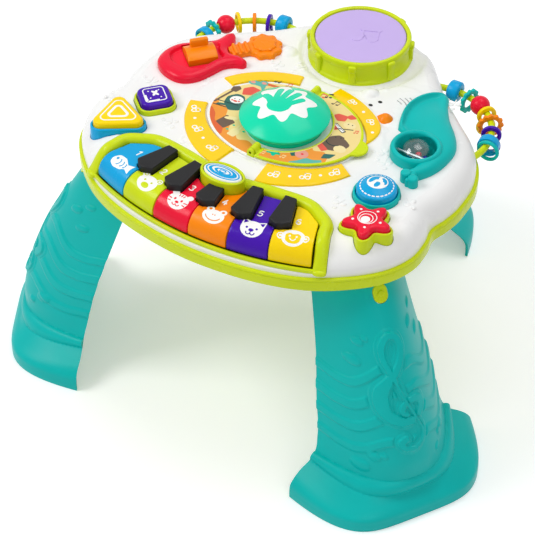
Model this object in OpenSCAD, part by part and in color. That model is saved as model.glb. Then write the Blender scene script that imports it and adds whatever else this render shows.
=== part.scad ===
// Musical activity table: a three-legged play table with a piano, press buttons,
// a strum guitar, a drum, a horn with a rattle ball, a flip page and two bead rails.
// Millimetres. Z is up, the origin is on the floor under the middle of the table,
// the piano faces -Y and the drum stands at +Y.

/* [Table top] */
// Height of the flat play deck above the floor
deck_z = 268; // [266:0.5:272]
// Height of the seam between the top shell and the base tray
rim_z = 240.5; // [239:0.5:242]
// Depth of the base tray below the seam
base_depth = 14; // [13:0.5:16]
// Width of the top shell across its side lobes
table_w = 356; // [352:1:362]
// Wall of the moulded shells
wall = 2.5; // [2:0.1:2.8]
// How far the base rim stands out past the top shell
rim_lip = 3; // [2:0.5:4]
// Width of the rolled shoulder round the deck
shoulder_w = 17; // [15:1:18]
// Running clearance round each piece that drops into the deck
fit = 0.3; // [0.2:0.05:0.4]

/* [Legs] */
// Distance of the foot's inner corners from the middle, along the leg
leg_reach = 201; // [195:1:206]
// Half of the width of a foot
foot_half_w = 98.5; // [94:0.5:101]
// Height of the moulded ring above the foot
foot_h = 43; // [41:1:46]
// Wall of a leg
leg_wall = 3; // [2.4:0.1:3.4]
// How far the tops of the two front legs lean towards the piano
front_leg_lean = 5; // [0:0.5:6]
// Travel of a leg's release button
latch_travel = 2; // [1:0.25:2.5]

/* [Piano] */
// Distance of the keys' common centre behind the middle of the table
fan_y = 140; // [138:1:142]
// Angle from one coloured key to the next
key_pitch = 7.5; // [7.4:0.05:7.6]
// Radius of the keys' front ends about their common centre
key_front_r = 302.5; // [300:0.5:303]
// Height of the keys above the deck
key_rise = 2; // [1.5:0.5:3]
// Radius of the rolled front of a key
key_roll = 17; // [15:1:18]
// Gap between one key and the next
key_gap = 0.7; // [0.6:0.05:0.9]
// How far a key turns down
key_angle = 2.5; // [1.5:0.25:2.5]
// Height of the black keys above the coloured ones
black_rise = 7; // [5:0.5:9]
// Width of the tube that frames the piano
tube_w = 12; // [11:0.5:12.5]
// Radius of the steel hinge pins
pin_r = 1.5; // [1.2:0.1:1.7]

/* [Buttons] */
// Side of the square button
square_side = 31; // [29:1:32]
// Distance from the middle of the triangle button to its corners' centres
triangle_reach = 18.5; // [17:0.5:19]
// Radius of the round button
round_r = 18.8; // [17:0.2:19.2]
// Radius to the tips of the star button
star_r = 22.5; // [21:0.5:23]
// Width of the bezel that shows round each button
bezel_w = 3; // [2.5:0.25:3.5]
// Height of the bezels above the deck
bezel_rise = 5; // [4:0.5:6]
// Height of the buttons above their bezels
button_rise = 6; // [4:0.5:8]
// How far the buttons press down
press = 3; // [2:0.25:3]

/* [Drum] */
// Radius of the playing head
drum_head_r = 44; // [42:0.5:45]
// Height of the drum above the deck
drum_h = 24; // [20:1:28]
// Distance of the drum behind the middle of the table
drum_y = 128; // [126:1:130]
// Number of tension lugs
drum_lugs = 8; // [6:1:10]

/* [Picture book] */
// Half of the picture plate's width
book_a = 78; // [76:0.5:79]
// Half of the picture plate's depth
book_b = 58; // [57:0.5:59]
// Distance of the picture plate in front of the middle of the table
book_y = 5; // [3:0.5:6]
// Greatest radius of the dome button
dome_r = 42.5; // [40:0.5:43]
// Height of the dome above the deck
dome_h = 28; // [24:1:32]
// Thickness of the flip page
page_t = 2.4; // [2:0.1:2.6]

/* [Guitar] */
// Height of the guitar's body above the deck
guitar_h = 9; // [8:0.5:11]
// Radius of the strum roller
strum_r = 20; // [19:0.5:21]
// How far the strum roller rocks each way
strum_angle = 12; // [8:1:12]

/* [Horn and rattle ball] */
// Height of the horn above the deck
horn_h = 10; // [9:0.5:12]
// Radius of the rattle ball
ball_r = 16.8; // [15.5:0.1:17]
// Radius of the well that the ball turns in
well_r = 18.6; // [18.2:0.1:19]

/* [Bead rails] */
// Radius of the bow of a bead rail
rail_bow_r = 64; // [62:0.5:65]
// Radius of the rail's rod
rail_rod_r = 3.2; // [2.8:0.1:3.4]
// Height of the rails above the floor
rail_z = 250; // [249:0.5:251]

/* [Hidden] */
$fn = 48;

teal = "#00b5ad";
lime = "#c8dc28";
shell_white = "#f4f4f2";
yellow = "#ffcf00";
red = "#ee1338";
orange = "#ff8a00";
purple = "#4b12a8";
blue = "#00a3dc";
lilac = "#c9b3e8";
dome_green = "#00cfa2";
key_colours = [blue, lime, red, orange, purple, yellow];

base_z = rim_z - base_depth;
floor_z = base_z + wall;
under_z = deck_z - wall;
half_w = table_w / 2;
// How far a running pin is smaller than its bore
running = 0.08;

// Outline of the top shell's right half, front to back: share of the half width, and y
half_outline = [[0.25, -164.5], [0.47, -156], [0.66, -142], [0.82, -121], [0.935, -98],
    [0.993, -72], [0.99, -48], [0.967, -29], [0.99, -10], [1, 12], [0.975, 46],
    [0.885, 76], [0.71, 104], [0.55, 128], [0.44, 150], [0.28, 177]];
outline_front = -168;
outline_back = 190;
outline_steps = 4;

function catmull(a, b, c, d, t) =
    0.5 * (2 * b + (c - a) * t + (2 * a - 5 * b + 4 * c - d) * t * t
           + (3 * b - a - 3 * c + d) * t * t * t);

// A smooth closed curve through the given points
function closed_spline(p, steps) = let (n = len(p))
    [for (i = [0:n - 1], k = [0:steps - 1])
        catmull(p[(i + n - 1) % n], p[i], p[(i + 1) % n], p[(i + 2) % n], k / steps)];

// A smooth open curve through the given points
function open_spline(p, steps) = let (n = len(p))
    concat([for (i = [0:n - 2], k = [0:steps - 1])
        catmull(p[max(i - 1, 0)], p[i], p[i + 1], p[min(i + 2, n - 1)], k / steps)],
        [p[n - 1]]);

function unit(v) = v / norm(v);

// Outward normal of a counter-clockwise outline at point i
function outward(p, i) = let (n = len(p), d = unit(p[(i + 1) % n] - p[(i + n - 1) % n]))
    [d[1], -d[0]];

// The outline moved outwards by d
function grow(p, d) = [for (i = [0:len(p) - 1]) p[i] + outward(p, i) * d];

function oval(a, b, n = 48) = [for (i = [0:n - 1]) [a * cos(360 * i / n), b * sin(360 * i / n)]];

// A convex polygon with corners rounded to radius r
function rounded(p, r, steps = 6) = let (n = len(p))
    [for (i = [0:n - 1]) let (
            d0 = p[i] - p[(i + n - 1) % n], d1 = p[(i + 1) % n] - p[i],
            a0 = atan2(-d0[0], d0[1]), turn = atan2(d0[0] * d1[1] - d0[1] * d1[0], d0 * d1))
        for (k = [0:steps]) let (a = a0 + turn * k / steps) p[i] + r * [cos(a), sin(a)]];

function mirrored(p) = [for (q = p) [-q[0], q[1]]];
function reversed(p) = [for (i = [len(p) - 1:-1:0]) p[i]];

right_points = [for (p = half_outline) [p[0] * half_w, p[1]]];
outline = closed_spline(concat([[0, outline_front]], right_points, [[0, outline_back]],
    reversed(mirrored(right_points))), outline_steps);

// Share of the front's wider, lower shoulder that holds at depth y
function frontness(y) = min(max((-60 - y) / 60, 0), 1);
front_widen = 0.8;
front_lower = 0.3;

// Shoulder from the seam to the deck: share of its width, share of its height
shoulder = [[0, 0], [0, 0.27], [0.06, 0.46], [0.19, 0.65], [0.39, 0.81], [0.67, 0.93], [1, 1]];
inner_shoulder = [[0, 0], [0, 0.27], [0.19, 0.65], [1, 1]];

function shoulder_ring(step, inset, height) = [for (i = [0:len(outline) - 1]) let (
        f = frontness(outline[i][1]),
        d = inset + step[0] * shoulder_w * (1 + front_widen * f),
        h = step[1] * (1 - front_lower * f * (1 - step[1])),
        q = outline[i] - outward(outline, i) * d)
    [q[0], q[1], rim_z + h * height]];

// Faces of the skin between the rings of a stack, each ring n points round
function skin(n, rings, start = 0, flip = false) = [for (r = [0:rings - 2], i = [0:n - 1], half = [0, 1])
    let (a = start + r * n + i, b = start + r * n + (i + 1) % n,
        f = half == 0 ? [a, b, b + n] : [a, b + n, a + n])
    flip ? f : [f[2], f[1], f[0]]];

module shell_body() {
    n = len(outline);
    outer = [for (s = shoulder) each shoulder_ring(s, 0, deck_z - rim_z)];
    inner = [for (s = inner_shoulder) each shoulder_ring(s, wall, under_z - rim_z)];
    first = len(outer);
    cap = [for (i = [n - 1:-1:0]) first - n + i];
    under = [for (i = [0:n - 1]) first + len(inner) - n + i];
    seam = [for (i = [0:n - 1]) let (j = (i + 1) % n)
        each [[i, first + i, first + j], [i, first + j, j]]];
    polyhedron(concat(outer, inner), concat(skin(n, len(shoulder)),
        skin(n, len(inner_shoulder), first, true), [cap, under], seam), 4);
}

// A prism of the outline p from height z0 to z1
module prism(p, z0, z1) { translate([0, 0, z0]) linear_extrude(z1 - z0) polygon(p); }

module rod(p, r, z0, z1) { translate([p[0], p[1], z0]) cylinder(r = r, h = z1 - z0); }

// A box by its lowest and highest corners
module block(a, b) { translate(a) cube(b - a); }

// ---------- Button shapes ----------
// Each outline is drawn at its place, grown by g past the button's cap
square_at = [58 - half_w, -44];
square_turn = -40;
square_corner = 8;
triangle_at = [46 - half_w, -85];
triangle_turn = 5;
triangle_corner = 7.5;
round_at = [half_w - 55, -44];
star_at = [half_w - 39.4, -85.6];
star_turn = 2.5;
star_dip = 0.62;

function turned(p, a, at) = [for (q = p)
    [q[0] * cos(a) - q[1] * sin(a) + at[0], q[0] * sin(a) + q[1] * cos(a) + at[1]]];

function square_outline(g) = let (h = square_side / 2 - square_corner)
    turned(rounded([[-h, -h], [h, -h], [h, h], [-h, h]], square_corner + g), square_turn, square_at);

function triangle_outline(g) = turned(rounded([for (k = [0:2])
    triangle_reach * [cos(120 * k), sin(120 * k)]], triangle_corner + g), triangle_turn, triangle_at);

function star_outline(g) = grow(turned([for (i = [0:59]) let (a = 6 * i,
        s = pow((1 + cos(5 * a)) / 2, 1.25), r = star_r * (star_dip + (1 - star_dip) * s))
    [r * cos(a), r * sin(a)]], star_turn, star_at), g);

function round_outline(g) = turned(oval(round_r + g, round_r + g, 60), 0, round_at);

bezel_floor_z = deck_z - 6;
bezel_top_z = deck_z + bezel_rise;
cap_low_z = bezel_floor_z + 2 + press + fit;
cap_top_z = bezel_top_z + button_rise;
board_top_z = 247.2;
board_t = 1.6;
pad_h = 1.7;
stem_low_z = board_top_z + pad_h + press + fit;

stem_r = 5;
catch_r = 7;

// The cup that a button slides in, from its outer and inner outlines
module bezel(outer, inner, at) {
    difference() {
        prism(outer, bezel_floor_z, bezel_top_z);
        prism(inner, bezel_floor_z + 2, bezel_top_z + 1);
        rod(at, stem_r + fit, bezel_floor_z - 1, bezel_floor_z + 3);
    }
}

// A press button: hollow cap, stem and the catch that stops it coming out
module button(cap, hollow, at) {
    difference() {
        prism(cap, cap_low_z, cap_top_z);
        prism(hollow, cap_low_z - 1, cap_top_z - wall);
    }
    rod(at, stem_r, stem_low_z, cap_top_z - 1);
    rod(at, catch_r, bezel_floor_z - fit - 2, bezel_floor_z - fit);
}

module square_button() { color(purple) button(square_outline(0), square_outline(-wall), square_at); }
module triangle_button() { color(yellow) button(triangle_outline(0), triangle_outline(-wall),
    triangle_at); }
module star_button() { color(red) button(star_outline(0), star_outline(-wall), star_at); }

module round_button() {
    color(blue) {
        button(round_outline(0), round_outline(-wall), round_at);
        intersection() {
            translate([round_at[0], round_at[1], cap_top_z - 26]) sphere(r = 30);
            rod(round_at, round_r - 2, cap_top_z - 1, cap_top_z + 5);
        }
    }
}

module lime_bezels() {
    color(lime) {
        bezel(square_outline(bezel_w), square_outline(fit), square_at);
        bezel(star_outline(bezel_w), star_outline(fit), star_at);
    }
}

module blue_bezel() { color(blue) bezel(triangle_outline(bezel_w), triangle_outline(fit), triangle_at); }
module teal_bezel() { color(teal) bezel(round_outline(bezel_w), round_outline(fit), round_at); }

// ---------- Piano ----------
key_top_z = deck_z + key_rise;
frame_top_z = deck_z + 7;
hinge_y = -96;
hinge_z = deck_z - 12;
key_skin = 3;
key_count = 6;
fan_half = key_pitch * key_count / 2;
arm_a = fan_half + 1.4;
ledge_r = key_front_r + 0.8;
hinge_r = fan_y - hinge_y;

// Radius at a share of the way from the hinge to the keys' front ends
function along_key(share) = hinge_r + share * (key_front_r - hinge_r);

// A point at angle a and radius r about the keys' common centre
function fan(a, r) = [r * sin(a), fan_y - r * cos(a)];

// Middle line of the frame's tube, right half from the middle to the front end: [x, y, top]
tube_half = concat([[0, -99.5, frame_top_z], [50, -92.5, frame_top_z], [81, -90, frame_top_z],
    [98, -97, frame_top_z]],
    [for (q = [[arm_a + 0.1, along_key(0.48), 0], [arm_a, along_key(0.65), 0.5],
        [arm_a, along_key(0.81), 3.5],
            [arm_a, along_key(0.93), 12], [arm_a, ledge_r + 2.4, 25.5]])
        [fan(q[0], q[1])[0], fan(q[0], q[1])[1], frame_top_z - q[2]]]);
tube_path = open_spline(concat(reversed([for (p = tube_half) [-p[0], p[1], p[2]]]),
    [for (i = [1:len(tube_half) - 1]) tube_half[i]]), 3);

// Side of the tube's line, moved by d to its outer (+) or inner (-) side
function tube_side(d) = [for (i = [0:len(tube_path) - 1]) let (
        t = tube_path[min(i + 1, len(tube_path) - 1)] - tube_path[max(i - 1, 0)],
        u = unit([t[0], t[1]]))
    [tube_path[i][0] - u[1] * d, tube_path[i][1] + u[0] * d]];

function sector_front(r, a, n = 24) = [for (i = [0:n]) fan(a - 2 * a * i / n, r)];

// Plan of the opening inside the tube, and of the whole frame grown by g
function inside_plan(g) = concat(tube_side(-tube_w / 2 - g), sector_front(key_front_r + 3, fan_half - 0.3));
function frame_plan(g) = concat(tube_side(tube_w / 2 + g), sector_front(key_front_r + 20, arm_a + 1));

tube_arc = 8;
tube_h = 13;
strip_z = rim_z + 4.5;
frame_low_z = strip_z + fit;

// Section of the tube at path point i: straight sides under a half-round top
function tube_ring(i) = let (
        a = tube_side(-tube_w / 2)[i], b = tube_side(tube_w / 2)[i],
        m = (a + b) / 2, h = (b - a) / 2, top = tube_path[i][2],
        r = min(tube_w / 2, (top - frame_low_z) / 2), low = max(top - tube_h, frame_low_z))
    concat([[a[0], a[1], low]],
        [for (k = [0:tube_arc]) let (c = 180 - 180 * k / tube_arc, q = m + h * cos(c))
            [q[0], q[1], top - r + r * sin(c)]],
        [[b[0], b[1], low]]);

module tube() {
    n = tube_arc + 3;
    rings = len(tube_path);
    points = [for (i = [0:rings - 1]) each tube_ring(i)];
    polyhedron(points, concat(skin(n, rings, 0, true),
        [[for (k = [0:n - 1]) k], [for (k = [n - 1:-1:0]) (rings - 1) * n + k]]), 4);
}

mode_at = [0, -106];
mode_a = 20;
mode_b = 10.5;
mode_top_z = frame_top_z + 6;
mode_travel = 1.5;
lug_xs = [-88, -39, -7.75, 7.75, 39, 88];

function placed(p, at) = [for (q = p) q + at];

// Plan of the mode button's housing, g out from the button
function mode_plan(g) = placed(oval(mode_a + g, mode_b + 4 / 3 * g), mode_at);

module piano_frame() {
    color(lime) difference() {
        union() {
            tube();
            prism(mode_plan(3), frame_top_z - tube_h, mode_top_z);
            for (x = lug_xs)
                block([x - 1.5, hinge_y - 4, hinge_z - 5], [x + 1.5, hinge_y + 4,
                    frame_top_z - tube_h + 1]);
            for (x = [lug_xs[0], lug_xs[5]])
                block([x - 1.5, hinge_y - 4, floor_z], [x + 1.5, hinge_y + 4, hinge_z - 4]);
            ledge();
        }
        prism(placed(oval(mode_a + fit, mode_b + fit), mode_at), mode_top_z - 6, mode_top_z + 1);
        rod(mode_at, stem_r - 1 + fit, frame_top_z - tube_h - 1, mode_top_z);
        translate([-half_w, hinge_y, hinge_z]) rotate([0, 90, 0])
            cylinder(r = pin_r + running, h = table_w);
    }
}

// The strip in front of the keys
module ledge() {
    prism(concat(sector_front(ledge_r + 2.8, arm_a - 0.4), reversed(sector_front(ledge_r, arm_a - 0.4))),
        frame_low_z, frame_low_z + 3.7);
}

module mode_button() {
    color(shell_white) {
        prism(placed(oval(mode_a, mode_b), mode_at), mode_top_z - 6 + mode_travel + fit, mode_top_z + 1);
        rod(mode_at, stem_r - 1, frame_top_z - tube_h - 3, mode_top_z - 3);
        rod(mode_at, stem_r + 1, frame_top_z - tube_h - 2.5, frame_top_z - tube_h - fit);
    }
}

black_back_w = 10;
black_front_w = 20.4;
black_shift = 0.7;
notch_gap = 0.7;

// Outline of black key k, grown by g at the sides and past its blunt pointed front
function black_outline(k, g) = let (a = key_pitch * (k - 2) + black_shift, tip = along_key(0.715) + 1.2 * g,
        w0 = black_back_w / 2 + g, w1 = black_front_w / 2 + g)
    [for (q = [[-w0, along_key(0.06)], [-w1, tip - 5.5], [-w1 + 2.5, tip - 3.6], [-3.5, tip - 0.5],
        [0, tip],
            [3.5, tip - 0.5], [w1 - 2.5, tip - 3.6], [w1, tip - 5.5], [w0, along_key(0.06)]])
        let (p = fan(a, q[1])) p + q[0] * [cos(a), sin(a)]];

function key_x(k) = (fan_y - hinge_y) * tan(key_pitch * (k - 2.5));
plunger_r = along_key(0.48);
plunger_drop = (plunger_r - fan_y + hinge_y) * sin(key_angle);
plunger_low_z = board_top_z + pad_h + plunger_drop + fit;
arm_half_w = 4.2;
arm_top_z = hinge_z + 5;
web_from_r = along_key(0.415);
web_to_r = along_key(0.555);

// Plan of a key's arm, from its bore at the hinge pin to the web under its middle
function arm_plan(k) = let (a = key_pitch * (k - 2.5), w = [arm_half_w, 0], h = [key_x(k), hinge_y + 3.5])
    [h - w, fan(a, web_from_r) - w, fan(a, web_to_r) - w, fan(a, web_to_r) + w, fan(a, web_from_r) + w,
        h + w];

function web_plan(k) = let (p = arm_plan(k)) [p[1], p[2], p[3], p[4]];

module key(k) {
    a0 = key_pitch * (k - 3);
    inset_a = key_gap / 2 / key_front_r * 180 / PI;
    arm_low_z = hinge_z - 4.5;
    color(key_colours[k]) difference() {
        union() {
            difference() {
                intersection() {
                    translate([0, fan_y, 0]) rotate([0, 0, a0 + inset_a - 90])
                        rotate_extrude(angle = key_pitch - 2 * inset_a, $fn = 180) key_profile();
                    prism(inside_plan(fit + 0.2), arm_low_z, key_top_z + 1);
                }
                for (b = [k - 1, k]) if (b >= 0 && b < key_count - 1)
                    prism(black_outline(b, notch_gap), arm_low_z, key_top_z + 1);
                prism(mode_plan(3 + 2 * fit), arm_low_z, key_top_z + 1);
            }
            prism(web_plan(k), arm_top_z - 1, key_top_z - key_skin + 0.5);
            prism(arm_plan(k), arm_low_z, arm_top_z);
            rod(fan(a0 + key_pitch / 2, plunger_r), 2.5, plunger_low_z, arm_low_z + 1);
        }
        translate([key_x(k) - 9, hinge_y, hinge_z]) rotate([0, 90, 0])
            cylinder(r = pin_r + running, h = 18);
    }
}

// Cross-section of a key: top plate rolled over at the front into a short apron
module key_profile() {
    apron = 1.5;
    back_r = hinge_r;
    mid_r = key_front_r - key_roll;
    translate([back_r, key_top_z - key_skin]) square([mid_r - back_r, key_skin]);
    translate([mid_r, key_top_z - key_roll]) {
        intersection() {
            difference() {
                circle(r = key_roll, $fn = 64);
                circle(r = key_roll - key_skin, $fn = 64);
            }
            square(key_roll + 1);
        }
        translate([key_roll - key_skin, -apron]) square([key_skin, apron + 0.1]);
    }
}

module black_keys() {
    low = key_top_z - key_skin + 0.5 + fit;
    color("#232323") difference() {
        intersection() {
            for (k = [0:key_count - 2]) prism(black_outline(k, 0), low, key_top_z + black_rise);
            prism(inside_plan(fit), low, key_top_z + black_rise);
        }
        prism(mode_plan(3 + 2 * fit), low - 1, key_top_z + black_rise + 1);
    }
}

// ---------- Drum ----------
drum_top_z = deck_z + drum_h;
drum_at = [0, drum_y];
drum_press = 2;

module drum_rim() {
    ri = drum_head_r + 0.4;
    color(lime) translate([0, drum_y, deck_z]) {
        rotate_extrude($fn = 96) polygon([[ri, 0], [ri + 6, 0], [ri + 6, 3], [ri + 4.4, 4.5],
            [ri + 3.4, drum_h - 7], [ri + 4.4, drum_h - 5], [ri + 4.4, drum_h - 1],
            [ri + 3, drum_h], [ri + 1, drum_h], [ri, drum_h - 1]]);
        for (k = [0:drum_lugs - 1]) rotate([0, 0, 360 * (k + 0.5) / drum_lugs])
            block([ri + 2.8, -4, 0.5], [ri + 8, 4, drum_h - 2.5]);
        for (a = [0:90:270]) rotate([0, 0, a + 45]) block([ri - 6, -4, 0],
            [ri + 1, 4, drum_h - 8 - drum_press - fit]);
    }
}

module drum_head() {
    color(lilac) {
        difference() {
            rod(drum_at, drum_head_r, drum_top_z - 8, drum_top_z - 1.5);
            rod(drum_at, drum_head_r - wall, drum_top_z - 9, drum_top_z - 1.5 - wall);
        }
        rod(drum_at, 6, stem_low_z + 1, drum_top_z - 3);
        rod(drum_at, 9, under_z - fit - 2, under_z - fit);
    }
}

// ---------- Picture book, dome and lights ----------
book_at = [0, -book_y];
plate_t = 2;
plate_z = deck_z + plate_t;
page_z = deck_z + 3.2;
page_hinge_z = deck_z + 6.4;
knuckle_r = 3.6;
hinge_reach = 51;
page_bore_r = dome_r + 2;
neck_r = dome_r - 6.3;
dome_wide_z = deck_z + 13;

module centre_dome() {
    neck_low = deck_z - 6;
    top = deck_z + dome_h;
    h = top - dome_wide_z;
    cap_r = (dome_r * dome_r + h * h) / (2 * h);
    a = asin(dome_r / cap_r);
    color(dome_green) translate([book_at[0], book_at[1], 0]) {
        rotate_extrude($fn = 96) polygon(concat([[neck_r + 3, neck_low],
            [neck_r + 3, under_z - fit], [neck_r, under_z - fit], [neck_r, deck_z + 5],
            [neck_r + 4, deck_z + 8.5], [dome_r - 0.4, deck_z + 11]],
            [for (k = [0:12]) let (b = a * (1 - k / 12)) [cap_r * sin(b), top - cap_r + cap_r * cos(b)]],
            [for (k = [0:12]) let (b = a * k / 12, r = cap_r - wall)
                [r * sin(b), top - cap_r + r * cos(b)]],
            [[neck_r - wall, deck_z + 7], [neck_r - wall, neck_low]]));
        translate([0, 0, stem_low_z]) cylinder(r = 8, h = top - stem_low_z - 1);
    }
}

module picture_plate() {
    color(shell_white) difference() {
        union() {
            prism(placed(oval(book_a, book_b, 72), book_at), deck_z, plate_z);
            for (s = [-1, 1], e = [-1, 1]) let (y = -book_y + s * hinge_reach + e * 5.3) {
                block([-knuckle_r, y - 1.4, plate_z - 1], [knuckle_r, y + 1.4, page_hinge_z]);
                translate([0, y + 1.4, page_hinge_z]) rotate([90, 0, 0]) cylinder(r = knuckle_r, h = 2.8);
            }
        }
        rod(book_at, neck_r + fit + 0.1, deck_z - 1, plate_z + 1);
        translate([0, half_w, page_hinge_z]) rotate([90, 0, 0]) cylinder(r = 1.2 + running, h = table_w);
    }
}

// The right-hand page: half of the oval round the dome, with a thumb tab
module flip_page() {
    color(lime) difference() {
        union() {
            difference() {
                union() {
                    prism(placed(oval(book_a, book_b, 72), book_at), page_z, page_z + page_t);
                    rod([book_a - 2, 3 - book_y], 11, page_z, page_z + page_t);
                }
                block([-table_w, -table_w, 0], [knuckle_r + 0.7, table_w, page_z + 9]);
                rod(book_at, page_bore_r, page_z - 1, page_z + 9);
            }
            for (s = [-1, 1]) let (y = -book_y + s * hinge_reach) {
                translate([0, y + 3.5, page_hinge_z]) rotate([90, 0, 0]) cylinder(r = knuckle_r, h = 7);
                block([0, y - 3.5, page_z], [knuckle_r + 3, y + 3.5, page_hinge_z]);
            }
        }
        translate([0, half_w, page_hinge_z]) rotate([90, 0, 0]) cylinder(r = 1.2 + running, h = table_w);
    }
}

arc_gap = 3;
arc_h = 2.8;
// Each light: start angle, end angle, width at the sides, width at the front or back, taper
arcs = [[192, 257, 14, 24, 0], [283, 340, 14, 24, 0], [16, 82, 15, 13, 1], [105, 158, 12, 12, 0]];

function arc_point(a, w, h) = [(book_a + arc_gap + w) * cos(a), (book_b + arc_gap + h) * sin(a)];

function light_plan(q, n = 14) = let (step = (q[1] - q[0]) / n)
    concat([for (i = [0:n]) let (a = q[0] + step * i, s = q[4] == 0 ? 1
        : max(sin(90 * min(1, 2.5 * i / n)), 0.08))
            arc_point(a, q[2] * s, q[3] * s)],
        [for (i = [n:-1:0]) arc_point(q[0] + step * i, 0, 0)]);

module light_arcs() {
    color(yellow) for (q = arcs) prism(placed(light_plan(q), book_at), deck_z, deck_z + arc_h);
}

// ---------- Guitar ----------
guitar_points = [[-126, -7], [-114, -4], [-105, 6], [-100, 20], [-96, 34], [-89, 42], [-81, 46],
    [-81, 52], [-90, 55], [-100, 54], [-107, 59], [-109, 70], [-112, 79], [-117, 83], [-122, 78],
    [-125, 65], [-133, 56], [-144, 47], [-153, 37], [-157, 22], [-154, 7], [-142, -3]];
guitar_shift = 178 - half_w;
guitar_plan = closed_spline([for (p = guitar_points) p + [guitar_shift, 0]], 3);
strum_at = [-124 + guitar_shift, 36];
strum_turn = 49.5;
strum_hinge_z = deck_z - 6;
strum_w = 25;
strum_l = 29;
guitar_top_z = deck_z + guitar_h;

module at_strummer() { translate([strum_at[0], strum_at[1], 0]) rotate([0, 0, strum_turn]) children(); }

module guitar_body() {
    color(red) difference() {
        union() {
            prism(guitar_plan, deck_z, guitar_top_z - 2.5);
            difference() {
                prism(guitar_plan, deck_z, guitar_top_z);
                at_strummer() prism(placed(oval(27, 24), [-3, 0]), guitar_top_z - 2.5, guitar_top_z + 1);
            }
        }
        strummer_window();
    }
}

// Opening for the roller, through the guitar's body and the deck
module strummer_window() {
    x = strum_l / 2 + 0.5;
    y = strum_r * sin(asin(strum_w / 2 / strum_r) + strum_angle) + fit;
    at_strummer() block([-x, -y, under_z - 1], [x, y, guitar_top_z + 1]);
}

module guitar_strummer() {
    color(orange) at_strummer() difference() {
        union() {
            intersection() {
                translate([-strum_l / 2, 0, strum_hinge_z]) rotate([0, 90, 0])
                    cylinder(r = strum_r, h = strum_l, $fn = 96);
                block([-strum_l / 2, -strum_w / 2, strum_hinge_z + 4],
                    [strum_l / 2, strum_w / 2, strum_hinge_z + strum_r]);
            }
            translate([-strum_l / 2, 0, strum_hinge_z]) rotate([0, 90, 0]) cylinder(r = 5, h = strum_l);
            block([-9, 2, strum_hinge_z + strum_r - 2], [9, 7, strum_hinge_z + strum_r + 8]);
        }
        translate([-strum_l, 0, strum_hinge_z]) rotate([0, 90, 0])
            cylinder(r = pin_r + running, h = 2 * strum_l);
    }
}

neck_start = 24;
neck_end = 52;
neck_w = 17;
head_reach = 64;

module guitar_neck() {
    color(orange) difference() {
        at_strummer() {
            block([neck_start - 4, -neck_w / 2, deck_z], [neck_end, neck_w / 2, deck_z + 5.5]);
            for (x = [neck_start + 3:6:neck_end - 4])
                block([x, -neck_w / 2, deck_z + 5], [x + 3, neck_w / 2, deck_z + 7.5]);
            translate([head_reach, 0, deck_z]) linear_extrude(8)
                polygon([for (i = [0:71]) let (a = 5 * i, r = 1.1 * cos(9 * a))
                    [(17.5 + r) * cos(a), (19 + r) * sin(a)]]);
        }
        prism(grow(guitar_plan, fit), deck_z - 1, deck_z + 12);
    }
}

// ---------- Horn, rattle ball and bird face ----------
well_at = [half_w - 55, 25];
ball_z = deck_z - 2;
horn_top_z = deck_z + horn_h;
horn_points = [[91, 47], [86, 66], [83, 84], [86, 102], [93, 114], [101, 117], [108, 112], [114, 100],
    [125, 84], [137, 71], [147, 58], [153, 44], [154, 25], [151, 8], [144, -6], [139, -12],
    [131, -8], [134, 2], [123, 25], [106, 40]];
horn_shift = half_w - 178;

module horn() {
    plan = closed_spline([for (p = horn_points) p + [horn_shift, 0]], 3);
    low = deck_z - 21;
    color(teal) difference() {
        union() {
            prism(plan, deck_z, horn_top_z);
            rod(well_at, well_r + 5.4, deck_z, horn_top_z + 1.5);
            rod(well_at, well_r + 2, low, deck_z + 1);
            rod([134 + horn_shift, -12], 5, deck_z, horn_top_z + 1);
            rod([143 + horn_shift, -15], 5, deck_z, horn_top_z + 1);
        }
        rod(well_at, well_r, low + 2, horn_top_z + 5);
        translate([well_at[0] - well_r - 6, well_at[1], ball_z]) rotate([0, 90, 0])
            cylinder(r = pin_r + running, h = 2 * well_r + 12);
        prism(grow([for (p = [[93, 54], [89, 70], [87, 84], [90, 100], [97, 110], [107, 98], [118, 80],
            [112, 58]])
            p + [horn_shift, 0]], -1), horn_top_z - 2, horn_top_z + 1);
    }
}

rattle_bead_r = 3;

module rattle_ball() {
    color("#dfe9e4") translate([well_at[0], well_at[1], ball_z]) difference() {
        sphere(r = ball_r, $fn = 96);
        sphere(r = ball_r - 1.4, $fn = 96);
        translate([-ball_r - 1, 0, 0]) rotate([0, 90, 0]) cylinder(r = pin_r + running, h = 2 * ball_r + 2);
    }
    color(purple) for (k = [0:6]) let (a = 360 * k / 7)
        translate([well_at[0] + 8.5 * cos(a), well_at[1] + 8.5 * sin(a), ball_z - 8.4])
            sphere(r = rattle_bead_r);
}

module bird_face() {
    at = [half_w - 105, 54];
    color(orange) difference() {
        union() {
            translate([at[0], at[1], deck_z - 1]) sphere(r = 7.5);
            translate([at[0] - 6, at[1] - 1, deck_z]) sphere(r = 3.5);
        }
        block([at[0] - 20, at[1] - 20, deck_z - 20], [at[0] + 20, at[1] + 20, deck_z]);
    }
    color("#202020") for (p = [[56, 73], [51, 64]]) rod(p, 2.2, deck_z, deck_z + 1);
}

// ---------- Bead rails ----------
rail_at = [half_w - 81.3, 86];
rail_from = -14;
rail_to = 107;

module rail_bow(r) {
    for (s = [0, 1]) mirror([s, 0, 0]) translate([rail_at[0], rail_at[1], rail_z])
        rotate([0, 0, rail_from]) rotate_extrude(angle = rail_to - rail_from, $fn = 120)
            translate([rail_bow_r, 0]) circle(r = r, $fn = 24);
}

module bead_rails() { color(lime) rail_bow(rail_rod_r); }

bead_bore = rail_rod_r + 0.95;
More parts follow.
